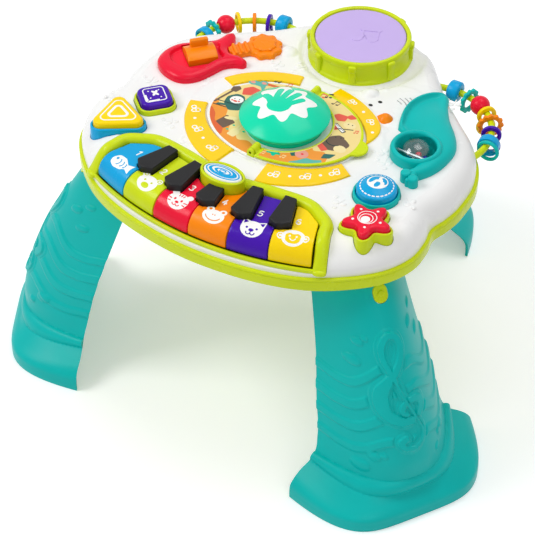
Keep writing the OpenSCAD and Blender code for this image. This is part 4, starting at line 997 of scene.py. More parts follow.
holes = [frame_plan(FIT)] + [outline(3.3)
                             for outline in (mode_outline, square_outline, triangle_outline, star_outline,
                                             round_outline)]
holes += [disc(6.3, 48, DRUM_AT), disc(BORE, 96, BOOK), disc(20.9, 72, WELL), strum_window]
feathers = ((27, 48, 76), (31, 44, 70), (35, 50, 66), (39, 42, 56), (23, 58, 74))
cut(cover, [slab(hole, SEAM if i else 245, 275) for i, hole in enumerate(holes)]
    + [feather_slot(*f) for f in feathers], 40)


# ---------- Small raised notes on the deck ----------
def deck_notes():
    """Groups of low round note heads with short stems, moulded on the deck's flat places."""
    made = []
    groups = ((-146, -20, 0.3), (-98, 8, -0.4), (-92, -62, 0.6), (-60, 68, 0.2), (-66, -78, -0.3),
              (-158, -62, 0.8), (104, -4, 0.4), (98, -72, -0.2), (96, 8, 1.0), (-40, 78, -0.5),
              (152, -40, 0.9), (112, 108, 0.2))
    for x, y, a in groups:
        for dx, dy, r in ((0, 0, 2.6), (7, 2.2, 2.2), (-4.5, 5.5, 1.7), (4, -6, 1.8)):
            head = boss(r * 1.25, r, (0, 0), [[0.3, DECK - 0.3], [0.15, DECK + 0.15], [-0.2, DECK + 0.45]],
                        0.35, 6, 24)
            p = turned([[dx, dy]], a, (x, y))[0]
            made.append(moved(head, a + dx, (*p, 0)))
        made.append(moved(slab(stroke([[2.9, 0.5], [3.1, 4.2], [3.3, 8]], 0.9), DECK - 0.2, DECK + 0.45), a,
                          (x, y, 0)))
    return joined(*made)


put("deck_notes", deck_notes(), WHITE)

# ---------- Piano pieces ----------
housing = cup(mode_outline, 3, 262, 281, 275, MODE_AT, 4.3)
lip = np.linspace(23.5, -23.5, 90)
lip_ring = [ring_at(fan(lip, KEY_R + out), z) for out, z in
            ((0.8, FRAME_LOW), (3.6, FRAME_LOW), (3.6, 248.4), (3.0, 249), (1.3, 249), (0.8, 248.5))]
lugs = [soft_box((x - 1.5, -100, z0), (x + 1.5, -92, z1), 0.3, 0.4) for x, z0, z1 in
        ((-88, 229, 263), (-39, 251, 263), (-7.75, 251, 263), (7.75, 251, 263), (39, 251, 263),
         (88, 229, 263))]
put("piano_surround", joined(piano_tube(), housing, stack(np.array(lip_ring).transpose(1, 0, 2)), *lugs),
    LIME, stands_for=["piano_frame"])
key_finish = (BLUE, LIME, RED, ORANGE, PURPLE, YELLOW)
for k in range(6):
    name = "key_%d" % (k + 1)
    middle = (KEY_R - 66.5) * math.tan(math.radians(PITCH * (k - 2.5)))
    arm = soft_box((middle - 4.2, -100, 251.6), (middle + 4.2, -91, 260.8), 0.8, 1)
    put(name + "_moulding", joined(key_shape(k), arm), key_finish[k], name, 40, [name])
black = [crowned(lambda g, k=k: black_plan(k, g)[::-1], block_edges(267.8, 277, 0.2, 1.3, steps=6),
                 fan(PITCH * (k - 2) + 0.7, HINGE_R + 0.42 * LEN), 0.0, 3) for k in range(5)]
blacks = put("black_keys_mouldings", joined(*black), BLACK, crisp=38, stands_for=["black_keys"])
room_outside = np.vstack([tube_path[:, :2] - tube_left * 6.3,
                          [[150, -40], [150, 20], [-150, 20], [-150, -40]]])
cut(blacks, [slab(room_outside, 266, 279), slab(mode_outline(3.6), 266, 282)], 38)


# ---------- Prints ----------
prints = {}


def printed(material, body, *shapes, on=None):
    """Lays flat prints on a surface, if one is given, and keeps those of one ink on one body together until
    they are made into a piece."""
    prints.setdefault((material, body), []).extend([over(s, on) for s in shapes] if on else shapes)


def crown_over(outline, at, top, crown):
    """A map that lays a flat print on a crowned cap: height top + crown (1 - share squared), where share is
    how far out a place is, as a part of the outline's own reach in that direction."""
    edge = outline - at
    way, reach = np.arctan2(edge[:, 1], edge[:, 0]), np.linalg.norm(edge, axis=1)
    order = way.argsort()

    def place(x, y, h):
        r = np.interp(np.arctan2(y - at[1], x - at[0]), way[order], reach[order], period=2 * np.pi)
        share = np.hypot(x - at[0], y - at[1]) / r
        return np.column_stack([x, y, top + crown * (1 - share**2) + h])

    return place


def closed_line(outline, w, h):
    """A printed line round an outline."""
    return hoop(grown(outline, w / 2), grown(outline, -w / 2), -0.12, h, 0.02, 2)


def arc(r, a0, a1, at=(0, 0), squash=1.0, n=24):
    """Points of a circular arc between two angles in degrees; squash flattens its height."""
    a = np.radians(np.linspace(a0, a1, n))
    return unit(a) * [r, r * squash] + at


digits = ([[[0.1, 0.76], [0.34, 0.98]], [[0.36, 1], [0.36, 0]]],
          [[[0.03, 0.76], [0.12, 0.94], [0.3, 1], [0.5, 0.92], [0.57, 0.72], [0.45, 0.48], [0.2, 0.22],
            [0.02, 0.02], [0.6, 0]]],
          [[[0.05, 0.9], [0.27, 1], [0.5, 0.93], [0.55, 0.75], [0.45, 0.58], [0.26, 0.53], [0.47, 0.47],
            [0.58, 0.27], [0.5, 0.07], [0.27, 0], [0.03, 0.1]]],
          [[[0.42, 1], [0.03, 0.32]], [[0.03, 0.3], [0.64, 0.3]], [[0.46, 0.62], [0.46, 0]]],
          [[[0.54, 1], [0.12, 0.99], [0.08, 0.56], [0.3, 0.63], [0.52, 0.52], [0.58, 0.3], [0.5, 0.08],
            [0.27, 0], [0.03, 0.08]]],
          [[[0.5, 0.95], [0.3, 1], [0.1, 0.8], [0.03, 0.45], [0.1, 0.12], [0.3, 0], [0.52, 0.1],
            [0.57, 0.32], [0.48, 0.52], [0.28, 0.58], [0.07, 0.42]]])


def number(k):
    """Figure k + 1, 6.5 mm high, its stroke 1.25 wide."""
    lines = [open_curve(line, 5) if k in (1, 2, 4, 5) else np.array(line) for line in digits[k]]
    return [ribbon(p * [6.5, -6.5] + [-1.9, 272.2], 1.25, -0.1, 0.06 + 0.01 * i)
            for i, p in enumerate(lines)]


def pair(a, b, n, x, y):
    """Two ovals, one on each side of the middle."""
    return [oval(a, b, n, (-x, y)), oval(a, b, n, (x, y))]


def face_icon(k):
    """A simple white face for key k, with its own ears, and its features in the key's colour."""
    white, dark = [oval(8.6, 7.2 if k != 3 else 6.2, 48)], []
    if k == 0:
        white = [eased([[-9, -1], [-6.5, 5], [0, 6], [5, 3.2], [8, 1.4], [12, 5.5], [11.4, 0], [12.5, -4.5],
                        [7.5, -2], [4, -4.8], [-3, -6.2], [-8, -4.5]], 90, 4)]
        dark = [disc(1.1, 16, (-5.2, 1.2))]
        lines = [arc(3.2, -60, 60, (-3.6, -0.4)), arc(3.0, -55, 55, (0.2, -0.4)),
                 arc(2.6, -50, 50, (3.6, -0.3))]
    elif k == 1:
        white += pair(2.7, 2.7, 24, 6.8, 6.0)
        dark = pair(0.9, 0.9, 16, 3.4, 1.4) + [oval(3.4, 2.4, 32, (0, -2.6))]
        lines = [arc(1.3, 20, 340, (-6.8, 6.2)), arc(1.3, 20, 340, (6.8, 6.2))]
    elif k == 2:
        white += pair(2.6, 2.6, 24, 6.4, 6.2)
        dark = pair(0.9, 1.1, 16, 3, 0.6) + [oval(1.5, 1.0, 16, (0, -1.6))]
        lines = [[[0, 6.4], [0, 4.2]], [[-2.2, 6], [-1.8, 4.2]], [[2.2, 6], [1.8, 4.2]],
                 [[-8, 0], [-5.6, -0.4]], [[8, 0], [5.6, -0.4]],
                 [[-7.4, -2.6], [-5.4, -2.4]], [[7.4, -2.6], [5.4, -2.4]],
                 arc(1.6, 200, 340, (-1.5, -2.8)), arc(1.6, 200, 340, (1.5, -2.8))]
    elif k == 3:
        white += pair(2.9, 2.9, 24, 5.2, 5.6)
        dark = pair(1.2, 1.2, 20, 5.2, 5.8) + pair(0.5, 0.5, 10, 0.9, 1)
        lines = [arc(6.2, 200, 340, (0, 0.6), 0.7)]
    elif k == 4:
        white += [eased([[-8.8, 8.6], [-8.6, 1], [-2.5, 6.4]], 40, 3),
                  eased([[8.8, 8.6], [2.5, 6.4], [8.6, 1]], 40, 3)]
        dark = [eased([[-7.9, 7.2], [-7.4, 3], [-4.2, 5.8]], 30, 2),
                eased([[7.9, 7.2], [4.2, 5.8], [7.4, 3]], 30, 2)]
        dark += pair(0.9, 0.9, 16, 3.8, 0) + [oval(1.9, 1.3, 24, (0, -1.6))]
        lines = [[[0, -2.6], [0, -4.2]], arc(1.6, 180, 350, (-1.6, -3.6)), arc(1.6, 190, 360, (1.6, -3.6))]
    else:
        white += pair(2.7, 2.9, 24, 9.2, 0)
        dark = [eased([[-5.8, 1.8], [-3, 4], [0, 2.6], [3, 4], [5.8, 1.8], [5.4, -3], [2.6, -5], [-2.6, -5],
                       [-5.4, -3]][::-1], 80, 5)]
        lines = [arc(1.4, 60, 300, (-9.4, 0)), arc(1.4, -120, 120, (9.4, 0))]
    return white, dark, lines


flip = np.array([1.22, -1.22])  # the icons are drawn with y up and read from the keys' front
icon_at = np.array([0, 289.5])
for k in range(6):
    place, body = on_key(k), "key_%d" % (k + 1)
    white, dark, lines = face_icon(k)
    printed(INKS["white"], body, *number(k),
            *[sheet(p * flip + icon_at, -0.12, 0.05 + 0.012 * i) for i, p in enumerate(white)], on=place)
    printed(key_finish[k], body,
            *[sheet(p * flip + icon_at, -0.1, 0.12 + 0.01 * i, 3) for i, p in enumerate(dark)],
            *[ribbon(np.asarray(p) * flip + icon_at, 0.9, -0.1, 0.16) for p in lines], on=place)
eyes = [sheet(oval(1.0, 1.1, 16, (x, 288.6)), -0.1, 0.2, 3) for x in (-3.1, 3.1)]
printed(INKS["white"], "key_6", *eyes, ribbon(arc(2.7, 20, 160, (0, 290)), 0.9, -0.1, 0.2), on=on_key(5))


# ---------- Buttons ----------
def cap(outline, at, top, crown, edge=2.4, low=267.3):
    """A button's cap with a slightly drafted skirt and a rounded, crowned top, on its stem."""
    skirt = crowned(outline, block_edges(low, top, 0.5, edge, draft=0.5, steps=7), at, crown, 14)
    stem = lathe([[0.01, 242], [5, 242], [5, low + 1], [0.01, low + 1]], at, 40)
    return joined(skirt, stem)


def cap_top(outline, edge=2.4):
    """The last ring of a cap, where its crown begins."""
    return outline(-edge - 0.5)


def mode_cap(g):
    """The oval mode button, grown by g."""
    return oval(20 + g, 10.5 + g, 96, MODE_AT)


put("mode_button_cap", cap(mode_cap, MODE_AT, 281.2, 0.8, 1.6, 271), WHITE, "mode_button",
    stands_for=["mode_button"])
lay = crown_over(cap_top(mode_cap, 1.6), MODE_AT, 281.2, 0.8)
whorls = ((17.6, 8.2, (0, 0), 16.0, 7.0, (0, 0)), (14.6, 6.3, (0, 0), 10.6, 4.3, (-0.9, 0.6)),
          (8.8, 3.7, (0.2, 0), 6.2, 2.4, (0.6, 0.2)))
printed(INKS["sky"], "mode_button",
        *[hoop(oval(a, b, 96, MODE_AT + at), oval(c, d, 96, MODE_AT + to), -0.15, 0.05, 0.02, 2)
          for a, b, at, c, d, to in whorls],
        *[ribbon(arc(3.4, a, a + 120, MODE_AT, 0.45), 1.3, -0.15, 0.07) for a in (30, 210)], on=lay)

put("bezels_lime", joined(cup(square_outline, 3, 256, 273, 264, SQUARE_AT, 5.3),
                          cup(star_outline, 3, 254, 273, 264, STAR_AT, 5.3)),
    LIME, stands_for=["lime_bezels"])
put("bezel_blue", cup(triangle_outline, 3, 254, 273, 264, TRIANGLE_AT, 5.3), BLUE,
    stands_for=["blue_bezel"])
put("bezel_teal", cup(round_outline, 3, 262, 273, 264, ROUND_AT, 5.3), TEAL, stands_for=["teal_bezel"])
buttons = (("square", square_outline, SQUARE_AT, 278.2, 0.8, PURPLE),
           ("triangle", triangle_outline, TRIANGLE_AT, 278.4, 0.6, YELLOW),
           ("round", round_outline, ROUND_AT, 278.6, 4.2, BLUE),
           ("star", star_outline, STAR_AT, 278.4, 0.6, RED))
lay_on = {}
for name, outline, at, top, crown, finish in buttons:
    put(name + "_button_cap", cap(outline, at, top, crown), finish, name + "_button",
        stands_for=[name + "_button"])
    lay_on[name] = crown_over(cap_top(outline), at, top, crown)

lay, turn = lay_on["square"], SQUARE_TURN
loop = turned(soft_polygon([[-7.2, -6.8], [7.2, -7.2], [7.2, 6.6], [-7.2, 6.6]], 3.0), turn, SQUARE_AT)
petals = [turned(oval(2.7, 1.35, 32), turn + a, SQUARE_AT + turned([[2.0, 0]], turn + a)[0] + [-0.6, 1.4])
          for a in np.radians([35, 145, 215, 325])]
printed(INKS["white"], "square_button", closed_line(loop, 1.1, 0.05),
        *[sheet(p, -0.12, 0.05 + 0.01 * i) for i, p in enumerate(petals)],
        ribbon(turned([[0, -8.8], [3, -9.0], [7.5, -8.6]], turn, SQUARE_AT), 1.8, -0.12, 0.07),
        ribbon(turned([[9.1, -7], [9.4, -2], [9.1, 2]], turn, SQUARE_AT), 1.6, -0.12, 0.07),
        *[sheet(disc(0.75, 16, at), -0.12, 0.06, 3)
          for at in turned([[-5.5, -5], [5.6, 5], [-5.4, 5], [5.2, -5.2]], turn, SQUARE_AT)], on=lay)

for reach, r, w in ((13.2, 4.8, 1.3), (6.0, 3.4, 2.6)):
    loop = turned(soft_polygon(three_corners(reach), r), TRIANGLE_TURN, TRIANGLE_AT)
    printed(INKS["white"], "triangle_button", closed_line(loop, w, 0.05), on=lay_on["triangle"])

lay = lay_on["round"]
globe = ROUND_AT + [-0.6, 2.2]
printed(INKS["white"], "round_button", sheet(disc(9.6, 72, globe), -0.2, 0.06, 8),
        *[ribbon(arc(15.0, a, a + 7.5, ROUND_AT, n=5), 1.0, -0.2, 0.06) for a in range(0, 360, 15)], on=lay)
lands = [[[-8, 1], [-7, 5], [-3.6, 7.6], [-1, 8.4], [-2, 5], [0, 3], [-2.6, 1.4], [-3.4, -2], [-5, -5],
          [-7.4, -4]],
         [[1.6, 8.2], [5.6, 6.8], [8, 3.6], [8.6, 0], [7, -1], [6.2, 1.6], [4, 2], [3, 4.4], [1, 5.4]],
         [[0, -1], [3, -0.4], [4.4, -3], [3.6, -6.6], [1, -8.2], [-0.6, -5.4]]]
printed(INKS["sky"], "round_button",
        *[sheet(eased(np.array(p)[::-1] + globe, 60, 4), -0.2, 0.14, 5) for p in lands], on=lay)

star_dots = STAR_AT + 12.8 * unit(STAR_TURN + np.radians(72 * np.arange(5)))
swirl = turned([[0, 0.5], [-0.9, -0.8], [-1.7, -2.1]], READ_TURN, STAR_AT)
printed(INKS["white"], "star_button",
        *[hoop(disc(r, 80, at), disc(r - 0.8, 80, at), -0.12, 0.06, 0.02, 2)
          for r, at in zip((8.7, 6.3), swirl)],
        sheet(disc(4.1, 48, swirl[2]), -0.12, 0.06, 8),
        *[sheet(disc(1.25, 20, at), -0.12, 0.06, 3) for at in star_dots], on=lay_on["star"])


# ---------- Guitar ----------
guitar_plan = closed_curve([[-126, -7], [-114, -4], [-105, 6], [-100, 20], [-96, 34], [-89, 42], [-81, 46],
                            [-81, 52], [-90, 55], [-100, 54], [-107, 59], [-109, 70], [-112, 79],
                            [-117, 83], [-122, 78], [-125, 65], [-133, 56], [-144, 47], [-153, 37],
                            [-157, 22], [-154, 7], [-142, -3]], 14)


def guitar_body():
    """The red body: rings shrink from its outline to its middle. Height at a distance d inside the
    outline: a quarter ellipse 8 wide and 5.2 high at the rim, and a dish 3.6 deep whose wall runs from 7.5
    to 10.1 inside it."""
    middle = np.array([-122.0, 38.0])
    share = 1 - np.linspace(0, 1, 64)[:-1] ** 1.35
    flat = middle + share[:, None, None] * (guitar_plan - middle)
    loop = np.vstack([guitar_plan, guitar_plan[:1]])
    d = distance_to(flat.reshape(-1, 2), loop)[0].reshape(flat.shape[:2])
    local = turned((flat - STRUM).reshape(-1, 2), -STRUM_TURN).reshape(flat.shape)
    reach = np.hypot((local[..., 0] + 3) / 27, local[..., 1] / 24)
    rim = 271.8 + 5.2 * np.sqrt(np.clip(1 - (1 - np.minimum(d / 8, 1)) ** 2, 0, None))
    dish = 3.6 * smooth((d - 7.5) / 2.6) * smooth((1.02 - reach) / 0.1)
    rings = np.dstack([flat[..., 0], flat[..., 1], rim - dish])
    return stack(np.concatenate([[ring_at(guitar_plan, DECK), ring_at(guitar_plan, 271)], rings]))


def at_strummer(shape):
    """Lays a shape drawn in the strummer's frame in its place."""
    return moved(shape, STRUM_TURN, (*STRUM, 0))


body_piece = put("guitar_body_moulding", guitar_body(), RED, crisp=44, stands_for=["guitar_body"])
cut(body_piece, [slab(strum_window, 262, 280)], 44)

scallop = round_turn(144)
head_at = np.array([64.0, 0.0])
head, pad = (unit(scallop) * (np.array([a, b]) + wave * np.cos(9 * scallop)[:, None]) + head_at
             for a, b, wave in ((17.2, 18.7, 1.1), (11.5, 12.5, 0.6)))
neck_parts = [soft_box((21.6, -8.5, DECK), (52, 8.5, 273.5), 1.2, 1.6),
              crowned(lambda g: grown(head, g), block_edges(DECK, 273.6, 0.2, 3.0, steps=7), head_at, 0.3,
                      8),
              crowned(lambda g: grown(pad, g), block_edges(272, 275.6, 0.2, 1.9, steps=6), head_at, 0.35,
                      6)]
for x in (27, 33, 39, 45):
    neck_parts.append(soft_box((x, -8.4, 272.5), (x + 3.2, 8.4, 275.5), 1.2, 1.2))
for x, y in ((58, 9), (66, 11), (58, -9), (66, -11)):
    neck_parts.append(boss(2.4, 2.0, (x, y), [[0, 274], [0, 275.3]], 0.65, 5, 28))
neck = put("guitar_neck_moulding", at_strummer(joined(*neck_parts)), ORANGE, crisp=40,
           stands_for=["guitar_neck"])
cut(neck, [slab(grown(guitar_plan, FIT), DECK - 1, 279)], 40)


def strum_roller():
    """The orange roller: a part of a cylinder of radius 20 about its pin, flat below, with a thumb
    paddle."""
    t = np.radians(np.linspace(-38.6, 38.6, 40))
    section = np.vstack([np.column_stack([STRUM_R * np.sin(t), 262 + STRUM_R * np.cos(t)]),
                         [[12.2, 267], [-12.2, 267]]])
    rings = [np.column_stack([np.full(42, x), section[:, 0] * k, 262 + (section[:, 1] - 262) * k])
             for x, k in ((-14.5, 0.975), (-14.1, 0.993), (-13.4, 1), (13.4, 1), (14.1, 0.993),
                          (14.5, 0.975))]
    paddle = soft_box((-9, 2, 280), (9, 7, 290), 1.5, 1.8)
    lip = soft_box((-9, 0.6, 279), (9, 8.2, 282.4), 1.2, 1.6)
    return joined(stack(rings), paddle, lip)


put("strum_roller", at_strummer(strum_roller()), ORANGE, "guitar_strummer", stands_for=["guitar_strummer"])


# ---------- Drum ----------
rim_profile = [[44.4, DECK], [50.4, DECK], [50.4, 270.6], [49.9, 271.4], [49.0, 272.2], [48.5, 273],
               [47.9, 284.4], [48.2, 285.4], [48.7, 286.2], [49.0, 287.2], [49.0, 289.6], [48.8, 290.8],
               [48.1, 291.7], [47.1, 292], [46.2, 292], [45.2, 291.7], [44.6, 291.2], [44.4, 290.4]]
rim_parts = [lathe(rim_profile, DRUM_AT, 144, closed=True)]
for k in range(8):
    a = math.radians(22.5 + 45 * k)
    for low, high, r in (((47.0, -3.5, 268.5), (51.4, 3.5, 289.4), 1.6),
                         ((47.0, -4, 282.6), (52.3, 4, 289.5), 1.9)):
        rim_parts.append(moved(soft_box(low, high, r, 2.0), a, (*DRUM_AT, 0)))
for k in range(4):
    rim_parts.append(moved(soft_box((38.4, -4, DECK), (45.4, 4, 281.7), 0.3, 0.5),
                           math.radians(45 + 90 * k), (*DRUM_AT, 0)))
put("drum_rim_moulding", joined(*rim_parts), LIME, stands_for=["drum_rim"])
head_profile = [[0.01, 244], [6, 244], [6, 288.4], [41.5, 288.4], [41.5, 284], [44, 284], [44, 289.5],
                [43.7, 290.1], [43.1, 290.45], [42.2, 290.5], [20, 290.5], [0.01, 290.5]]
skin = [lathe(head_profile, DRUM_AT, 120)]
note_at = DRUM_AT + 3
for x in (-7, 8):
    head = turned(oval(5.2, 3.8, 40), 0.3, (x, -7))
    skin.append(crowned(lambda g, n=turned(head, 0.42, note_at): grown(n, g), [[0, 290.3], [-0.3, 290.85]],
                        note_at, 0.25, 5))
    skin.append(slab(turned(stroke([[x + 4.4, -6], [x + 4.4, 10]], 1.8), 0.42, note_at), 290.3, 290.95))
skin.append(slab(turned(stroke([[-3.4, 9], [13.2, 9]], 4.2), 0.42, note_at), 290.3, 291.0))
put("drum_skin", joined(*skin), LILAC, "drum_head", stands_for=["drum_head"])

# ---------- Dome ----------
DOME_TOP = 295.7
CAP_R = (42.5**2 + 14.7**2) / 29.4
dome_turns = np.linspace(math.asin(42.3 / CAP_R), 0.0003, 40)
dome_profile = [[0.01, 262], [36.2, 262], [36.2, 273], [40.0, 276.5], [41.8, 278.8], [42.3, 279.8],
                [42.5, 280.7]]
dome_profile += [[CAP_R * math.sin(t), DOME_TOP - CAP_R + CAP_R * math.cos(t)] for t in dome_turns]
put("dome_moulding", lathe(dome_profile, BOOK, 160), GREEN, "centre_dome", stands_for=["centre_dome"])


def on_dome(x, y, h):
    """A flat print laid on the dome's sphere, x to the hand's right and y along its fingers."""
    p = turned(np.column_stack([x, y]), READ_TURN)
    z = np.sqrt(CAP_R**2 - (p**2).sum(1))
    return np.column_stack([p * (1 + h[:, None] / CAP_R) + BOOK, DOME_TOP - CAP_R + z * (1 + h / CAP_R)])


a = round_turn(180)
splash = unit(a) * (26.0 + 3.8 * np.cos(8 * a + 0.4) + 1.4 * np.cos(3 * a + 1))[:, None] + [-1, 4.5]
printed(INKS["white"], "centre_dome", sheet(splash, -0.3, 0.06, 22), on=on_dome)
palm = [[0, -15], [7, -13.5], [11.4, -8], [12, -1.5], [10, 3.5], [0, 5.5], [-9, 3.5], [-11.4, -3],
        [-10, -10], [-6, -14]]


def tilted(points):
    """Points of the upright hand, turned 28 degrees to its right."""
    return turned(np.array(points) - [0, -5], -0.49, (-6, -3))


hand = [sheet(eased(tilted(palm), 80, 6), -0.3, 0.2, 12)]
fingers = (([[-8, -4], [-13, 1.5], [-18.5, 5]], 6.8), ([[-6, 1], [-8, 10], [-9.8, 19.5]], 6.0),
           ([[-0.8, 2], [-0.8, 12], [-1, 22.5]], 6.2), ([[4.8, 1], [6.8, 10], [8.6, 19.5]], 6.0),
           ([[8.6, -1], [12.4, 5.5], [16, 12.4]], 5.4))
for i, (line, w) in enumerate(fingers):
    hand.append(ribbon(open_curve(tilted(line), 8), w, -0.3, 0.24 + 0.012 * i))
printed(GREEN, "centre_dome", *hand, on=on_dome)

# ---------- Picture plate and flip page ----------
TOPS = {"table": 270.0, "flip_page": 273.2}  # where the printed sheets lie
plate = hoop(oval(*PLATE, 144, BOOK), disc(BORE, 144, BOOK), DECK, 270, 0.35, 4)
knuckle = 3.6 * unit(np.radians(np.linspace(0, 180, 17))) + [0, PIN_Z]
ears = []
for s in (-1, 1):
    for e in (-5.3, 5.3):
        y = BOOK[1] + PIN_Y * s + e
        ear = np.vstack([[[-3.6, 269.5], [3.6, 269.5]], knuckle])
        ears.append(stack([np.column_stack([ear[:, 0] * k, np.full(19, y + d),
                                            PIN_Z + (ear[:, 1] - PIN_Z) * k])
                           for d, k in ((-1.4, 0.93), (-1.1, 1), (1.1, 1), (1.4, 0.93))]))
put("picture_plate_moulding", plate, WHITE, stands_for=["picture_plate"])
put("page_hinge_ears", joined(*ears), LIME)


TAB_AT = np.array([76.0, 3.0])


def page_span(grow, bore, start, n=120):
    """Two matching rows of points over the page: its bore, and its outer oval grown by `grow`, with the tab
    (a circle of 11 mm about (76, 3)) where it reaches further. Both start at x = start beside the hinge."""
    share = np.linspace(-1, 1, n)
    wide, deep = PLATE + grow
    far, near = math.acos(start / wide), math.acos(start / bore)
    way = unit(share * far)
    reach = 1 / np.hypot(way[:, 0] / wide, way[:, 1] / deep)
    if grow >= 0:
        mid = way @ TAB_AT
        gap = (11 + grow) ** 2 - (TAB_AT @ TAB_AT - mid**2)
        reach = np.maximum(reach, np.where(gap > 0, mid + np.sqrt(np.maximum(gap, 0)), 0))
    outer = way * reach[:, None]
    outer[[0, -1], 0] = start
    return bore * unit(share * near) + BOOK, outer + BOOK


def across_span(inner, outer, profile):
    """Sections from the inner row to the outer one. Profile pairs are (distance, height); a distance below
    zero is measured back from the outer row."""
    rows = []
    for a, b in zip(inner, outer):
        reach = np.linalg.norm(b - a)
        rows.append([[*(a + (b - a) * ((d if d >= 0 else reach + d) / reach)), z] for d, z in profile])
    return stack(rows)


page_bore, page_rim = page_span(0, 44.5, 4.3)
page = [across_span(page_bore, page_rim, [(0.5, 271.2), (0, 271.6), (0, 273.1), (0.4, 273.5), (1.1, 273.5),
                                          (1.5, 273.2), (-2.5, 273.2), (-2.1, 273.5), (-0.5, 273.5),
                                          (-0.01, 273.1), (-0.01, 271.6), (-0.5, 271.2)])]
eye = np.vstack([[[0, 271.2], [6.6, 271.2], [6.6, 272.6], [5, 273.4]], knuckle[1:],
                 [[-3.2, 272.6], [-1.6, 271.2]]])
for y in (BOOK[1] - PIN_Y, BOOK[1] + PIN_Y):
    page.append(stack([np.column_stack([eye[:, 0], np.full(len(eye), y + d), eye[:, 1]])
                       for d in (-3.5, 3.5)]))
    page.append(soft_box((4.4, y - 6.5, 271.4), (7.4, y + 6.5, 273.6), 0.5, 0.8))
put("flip_page_moulding", joined(*page), LIME, "flip_page", stands_for=["flip_page"])


# ---------- Pictures on the plate and the page ----------
sheet_bore, sheet_rim = page_span(-2.3, 46.1, 4.6)


def on_page(outline):
    """Moves the points of an outline that reach over the printed sheet's inner edge to 0.8 mm outside
    that edge."""
    p, edge = np.asarray(outline, float) - BOOK, sheet_bore - BOOK
    angle, edge_angle = np.arctan2(p[:, 1], p[:, 0]), np.arctan2(edge[:, 1], edge[:, 0])
    order = np.argsort(edge_angle)
    least = np.interp(angle, edge_angle[order], np.hypot(*edge[order].T)) + 0.8
    return unit(angle) * np.maximum(np.hypot(*p.T), least)[:, None] + BOOK


def picture(colour, body, *outlines, lift=0.06):
    """Flat shapes of one ink, in millimetres from the middle of the book, each a hair above the last."""
    places = [np.asarray(p, float) + BOOK for p in outlines]
    if body == "flip_page":
        places = [on_page(p) for p in places]
    top = TOPS[body]
    printed(INKS[colour], body, *[slab(p, top - 0.1, top + lift + 0.008 * i) for i, p in enumerate(places)])


def cream_sheet(body, near, far):
    """The pale ground of a picture, between two rows of points."""
    z = TOPS[body]
    printed(INKS["cream"], body,
            across_span(near, far, [(0, z - 0.1), (-0.01, z - 0.1), (-0.01, z + 0.03), (0, z + 0.03)]))


def plate_edge(short, a0, a1, n):
    """Points along an oval a little shorter than the plate, between two angles in degrees."""
    return unit(np.radians(np.linspace(a0, a1, n))) * (PLATE - short)


def notes(x, y, s, turn=0.0):
    """Two joined notes: tilted oval heads, stems and a beam."""
    parts = [oval(1.5 * s, 1.1 * s, 20), oval(1.5 * s, 1.1 * s, 20, (4.6 * s, 0.9 * s)),
             stroke([[1.25 * s, 0], [1.4 * s, 6 * s]], 0.7 * s),
             stroke([[5.85 * s, 0.9 * s], [6 * s, 6.9 * s]], 0.7 * s),
             stroke([[1.3 * s, 5.8 * s], [6 * s, 6.7 * s]], 1.5 * s)]
    return [turned(p, turn, (x, y)) for p in parts]


cream_sheet("table", 38.0 * unit(np.radians(np.linspace(92, 268, 90))) + BOOK,
            plate_edge(2.4, 92, 268, 90) + BOOK)
hill = np.vstack([plate_edge(2.6, 183, 267, 40),
                  open_curve([[-3, -45], [-14, -40], [-24, -43], [-32, -35], [-38, -37], [-44, -24],
                              [-52, -20], [-58, -9], [-68, -8], [-72, -2]], 6)])
picture("tangerine", "table", hill)
ridge = open_curve([[-41, -44], [-47, -33], [-57, -31], [-63, -22], [-70, -16]], 6)
picture("rust", "table", np.vstack([plate_edge(2.8, 196, 236, 24), ridge]), lift=0.09)
picture("umber", "table", eased([[-56, -32], [-44, -37], [-39, -24], [-52, -18]], 60, 3),
        stroke([[-74, -7], [-68, 18]], 2.2),
        eased([[-71, 15], [-65, 15], [-63, 22], [-67, 25], [-72, 21]], 40, 2), lift=0.12)
picture("straw", "table", turned(oval(6.6, 2.4, 32), 0.36, (-46, -20.5)),
        eased([[-37, -42], [-29, -43], [-27, -35], [-31, -29], [-36, -32]], 50, 4),
        oval(1.0, 4.0, 20, (-33, -27)), oval(1.0, 4.0, 20, (-30, -28)), lift=0.15)
picture("pine", "table", eased([[-66, -4], [-56, -12], [-46, -7], [-48, 6], [-54, 14], [-62, 14], [-68, 6]],
                               70, 6),
        eased([[-71, -11], [-58, -6], [-56, -3], [-70, -7]], 40, 2), lift=0.1)
picture("white", "table", turned(oval(6.6, 5.6, 36), 0.3, (-57.5, 5.5)), lift=0.15)
picture("night", "table", disc(0.6, 12, (-60, 6)), disc(0.6, 12, (-55.4, 7.2)), *notes(-43, 49, 0.8),
        stroke([[-72, -4], [-52, -1]], 0.8), stroke([[-73, -11], [-60, -9.4]], 0.9), lift=0.2)
picture("coral", "table", oval(1.2, 0.9, 16, (-61, 3)), oval(1.2, 0.9, 16, (-54.4, 4.4)),
        oval(2.2, 1.3, 20, (-57.6, 3)),
        eased([[-58, 15], [-50, 19], [-46, 30], [-56, 31], [-62, 24]], 60, 3), lift=0.21)
picture("sea", "table", oval(4.6, 3.6, 28, (-60, 37)), oval(4.6, 3.6, 28, (-50, 41)),
        eased([[-60, 34], [-50, 35], [-44, 28], [-46, 38], [-52, 42], [-58, 40]], 60, 3), lift=0.12)
picture("rose", "table", oval(2.6, 1.9, 24, (-60, 37)), oval(2.6, 1.9, 24, (-50, 41)), lift=0.2)
picture("rust", "table", *notes(-30, 49, 0.75, 0.2),
        eased([[-46, 40], [-30, 43], [-31, 45.5], [-47, 43]], 40, 2), lift=0.18)
picture("mint", "table", oval(1.5, 1.0, 16, (-40, -36)), oval(1.5, 1.0, 16, (-25, -31)),
        oval(1.3, 0.9, 16, (-38, -28)), lift=0.2)

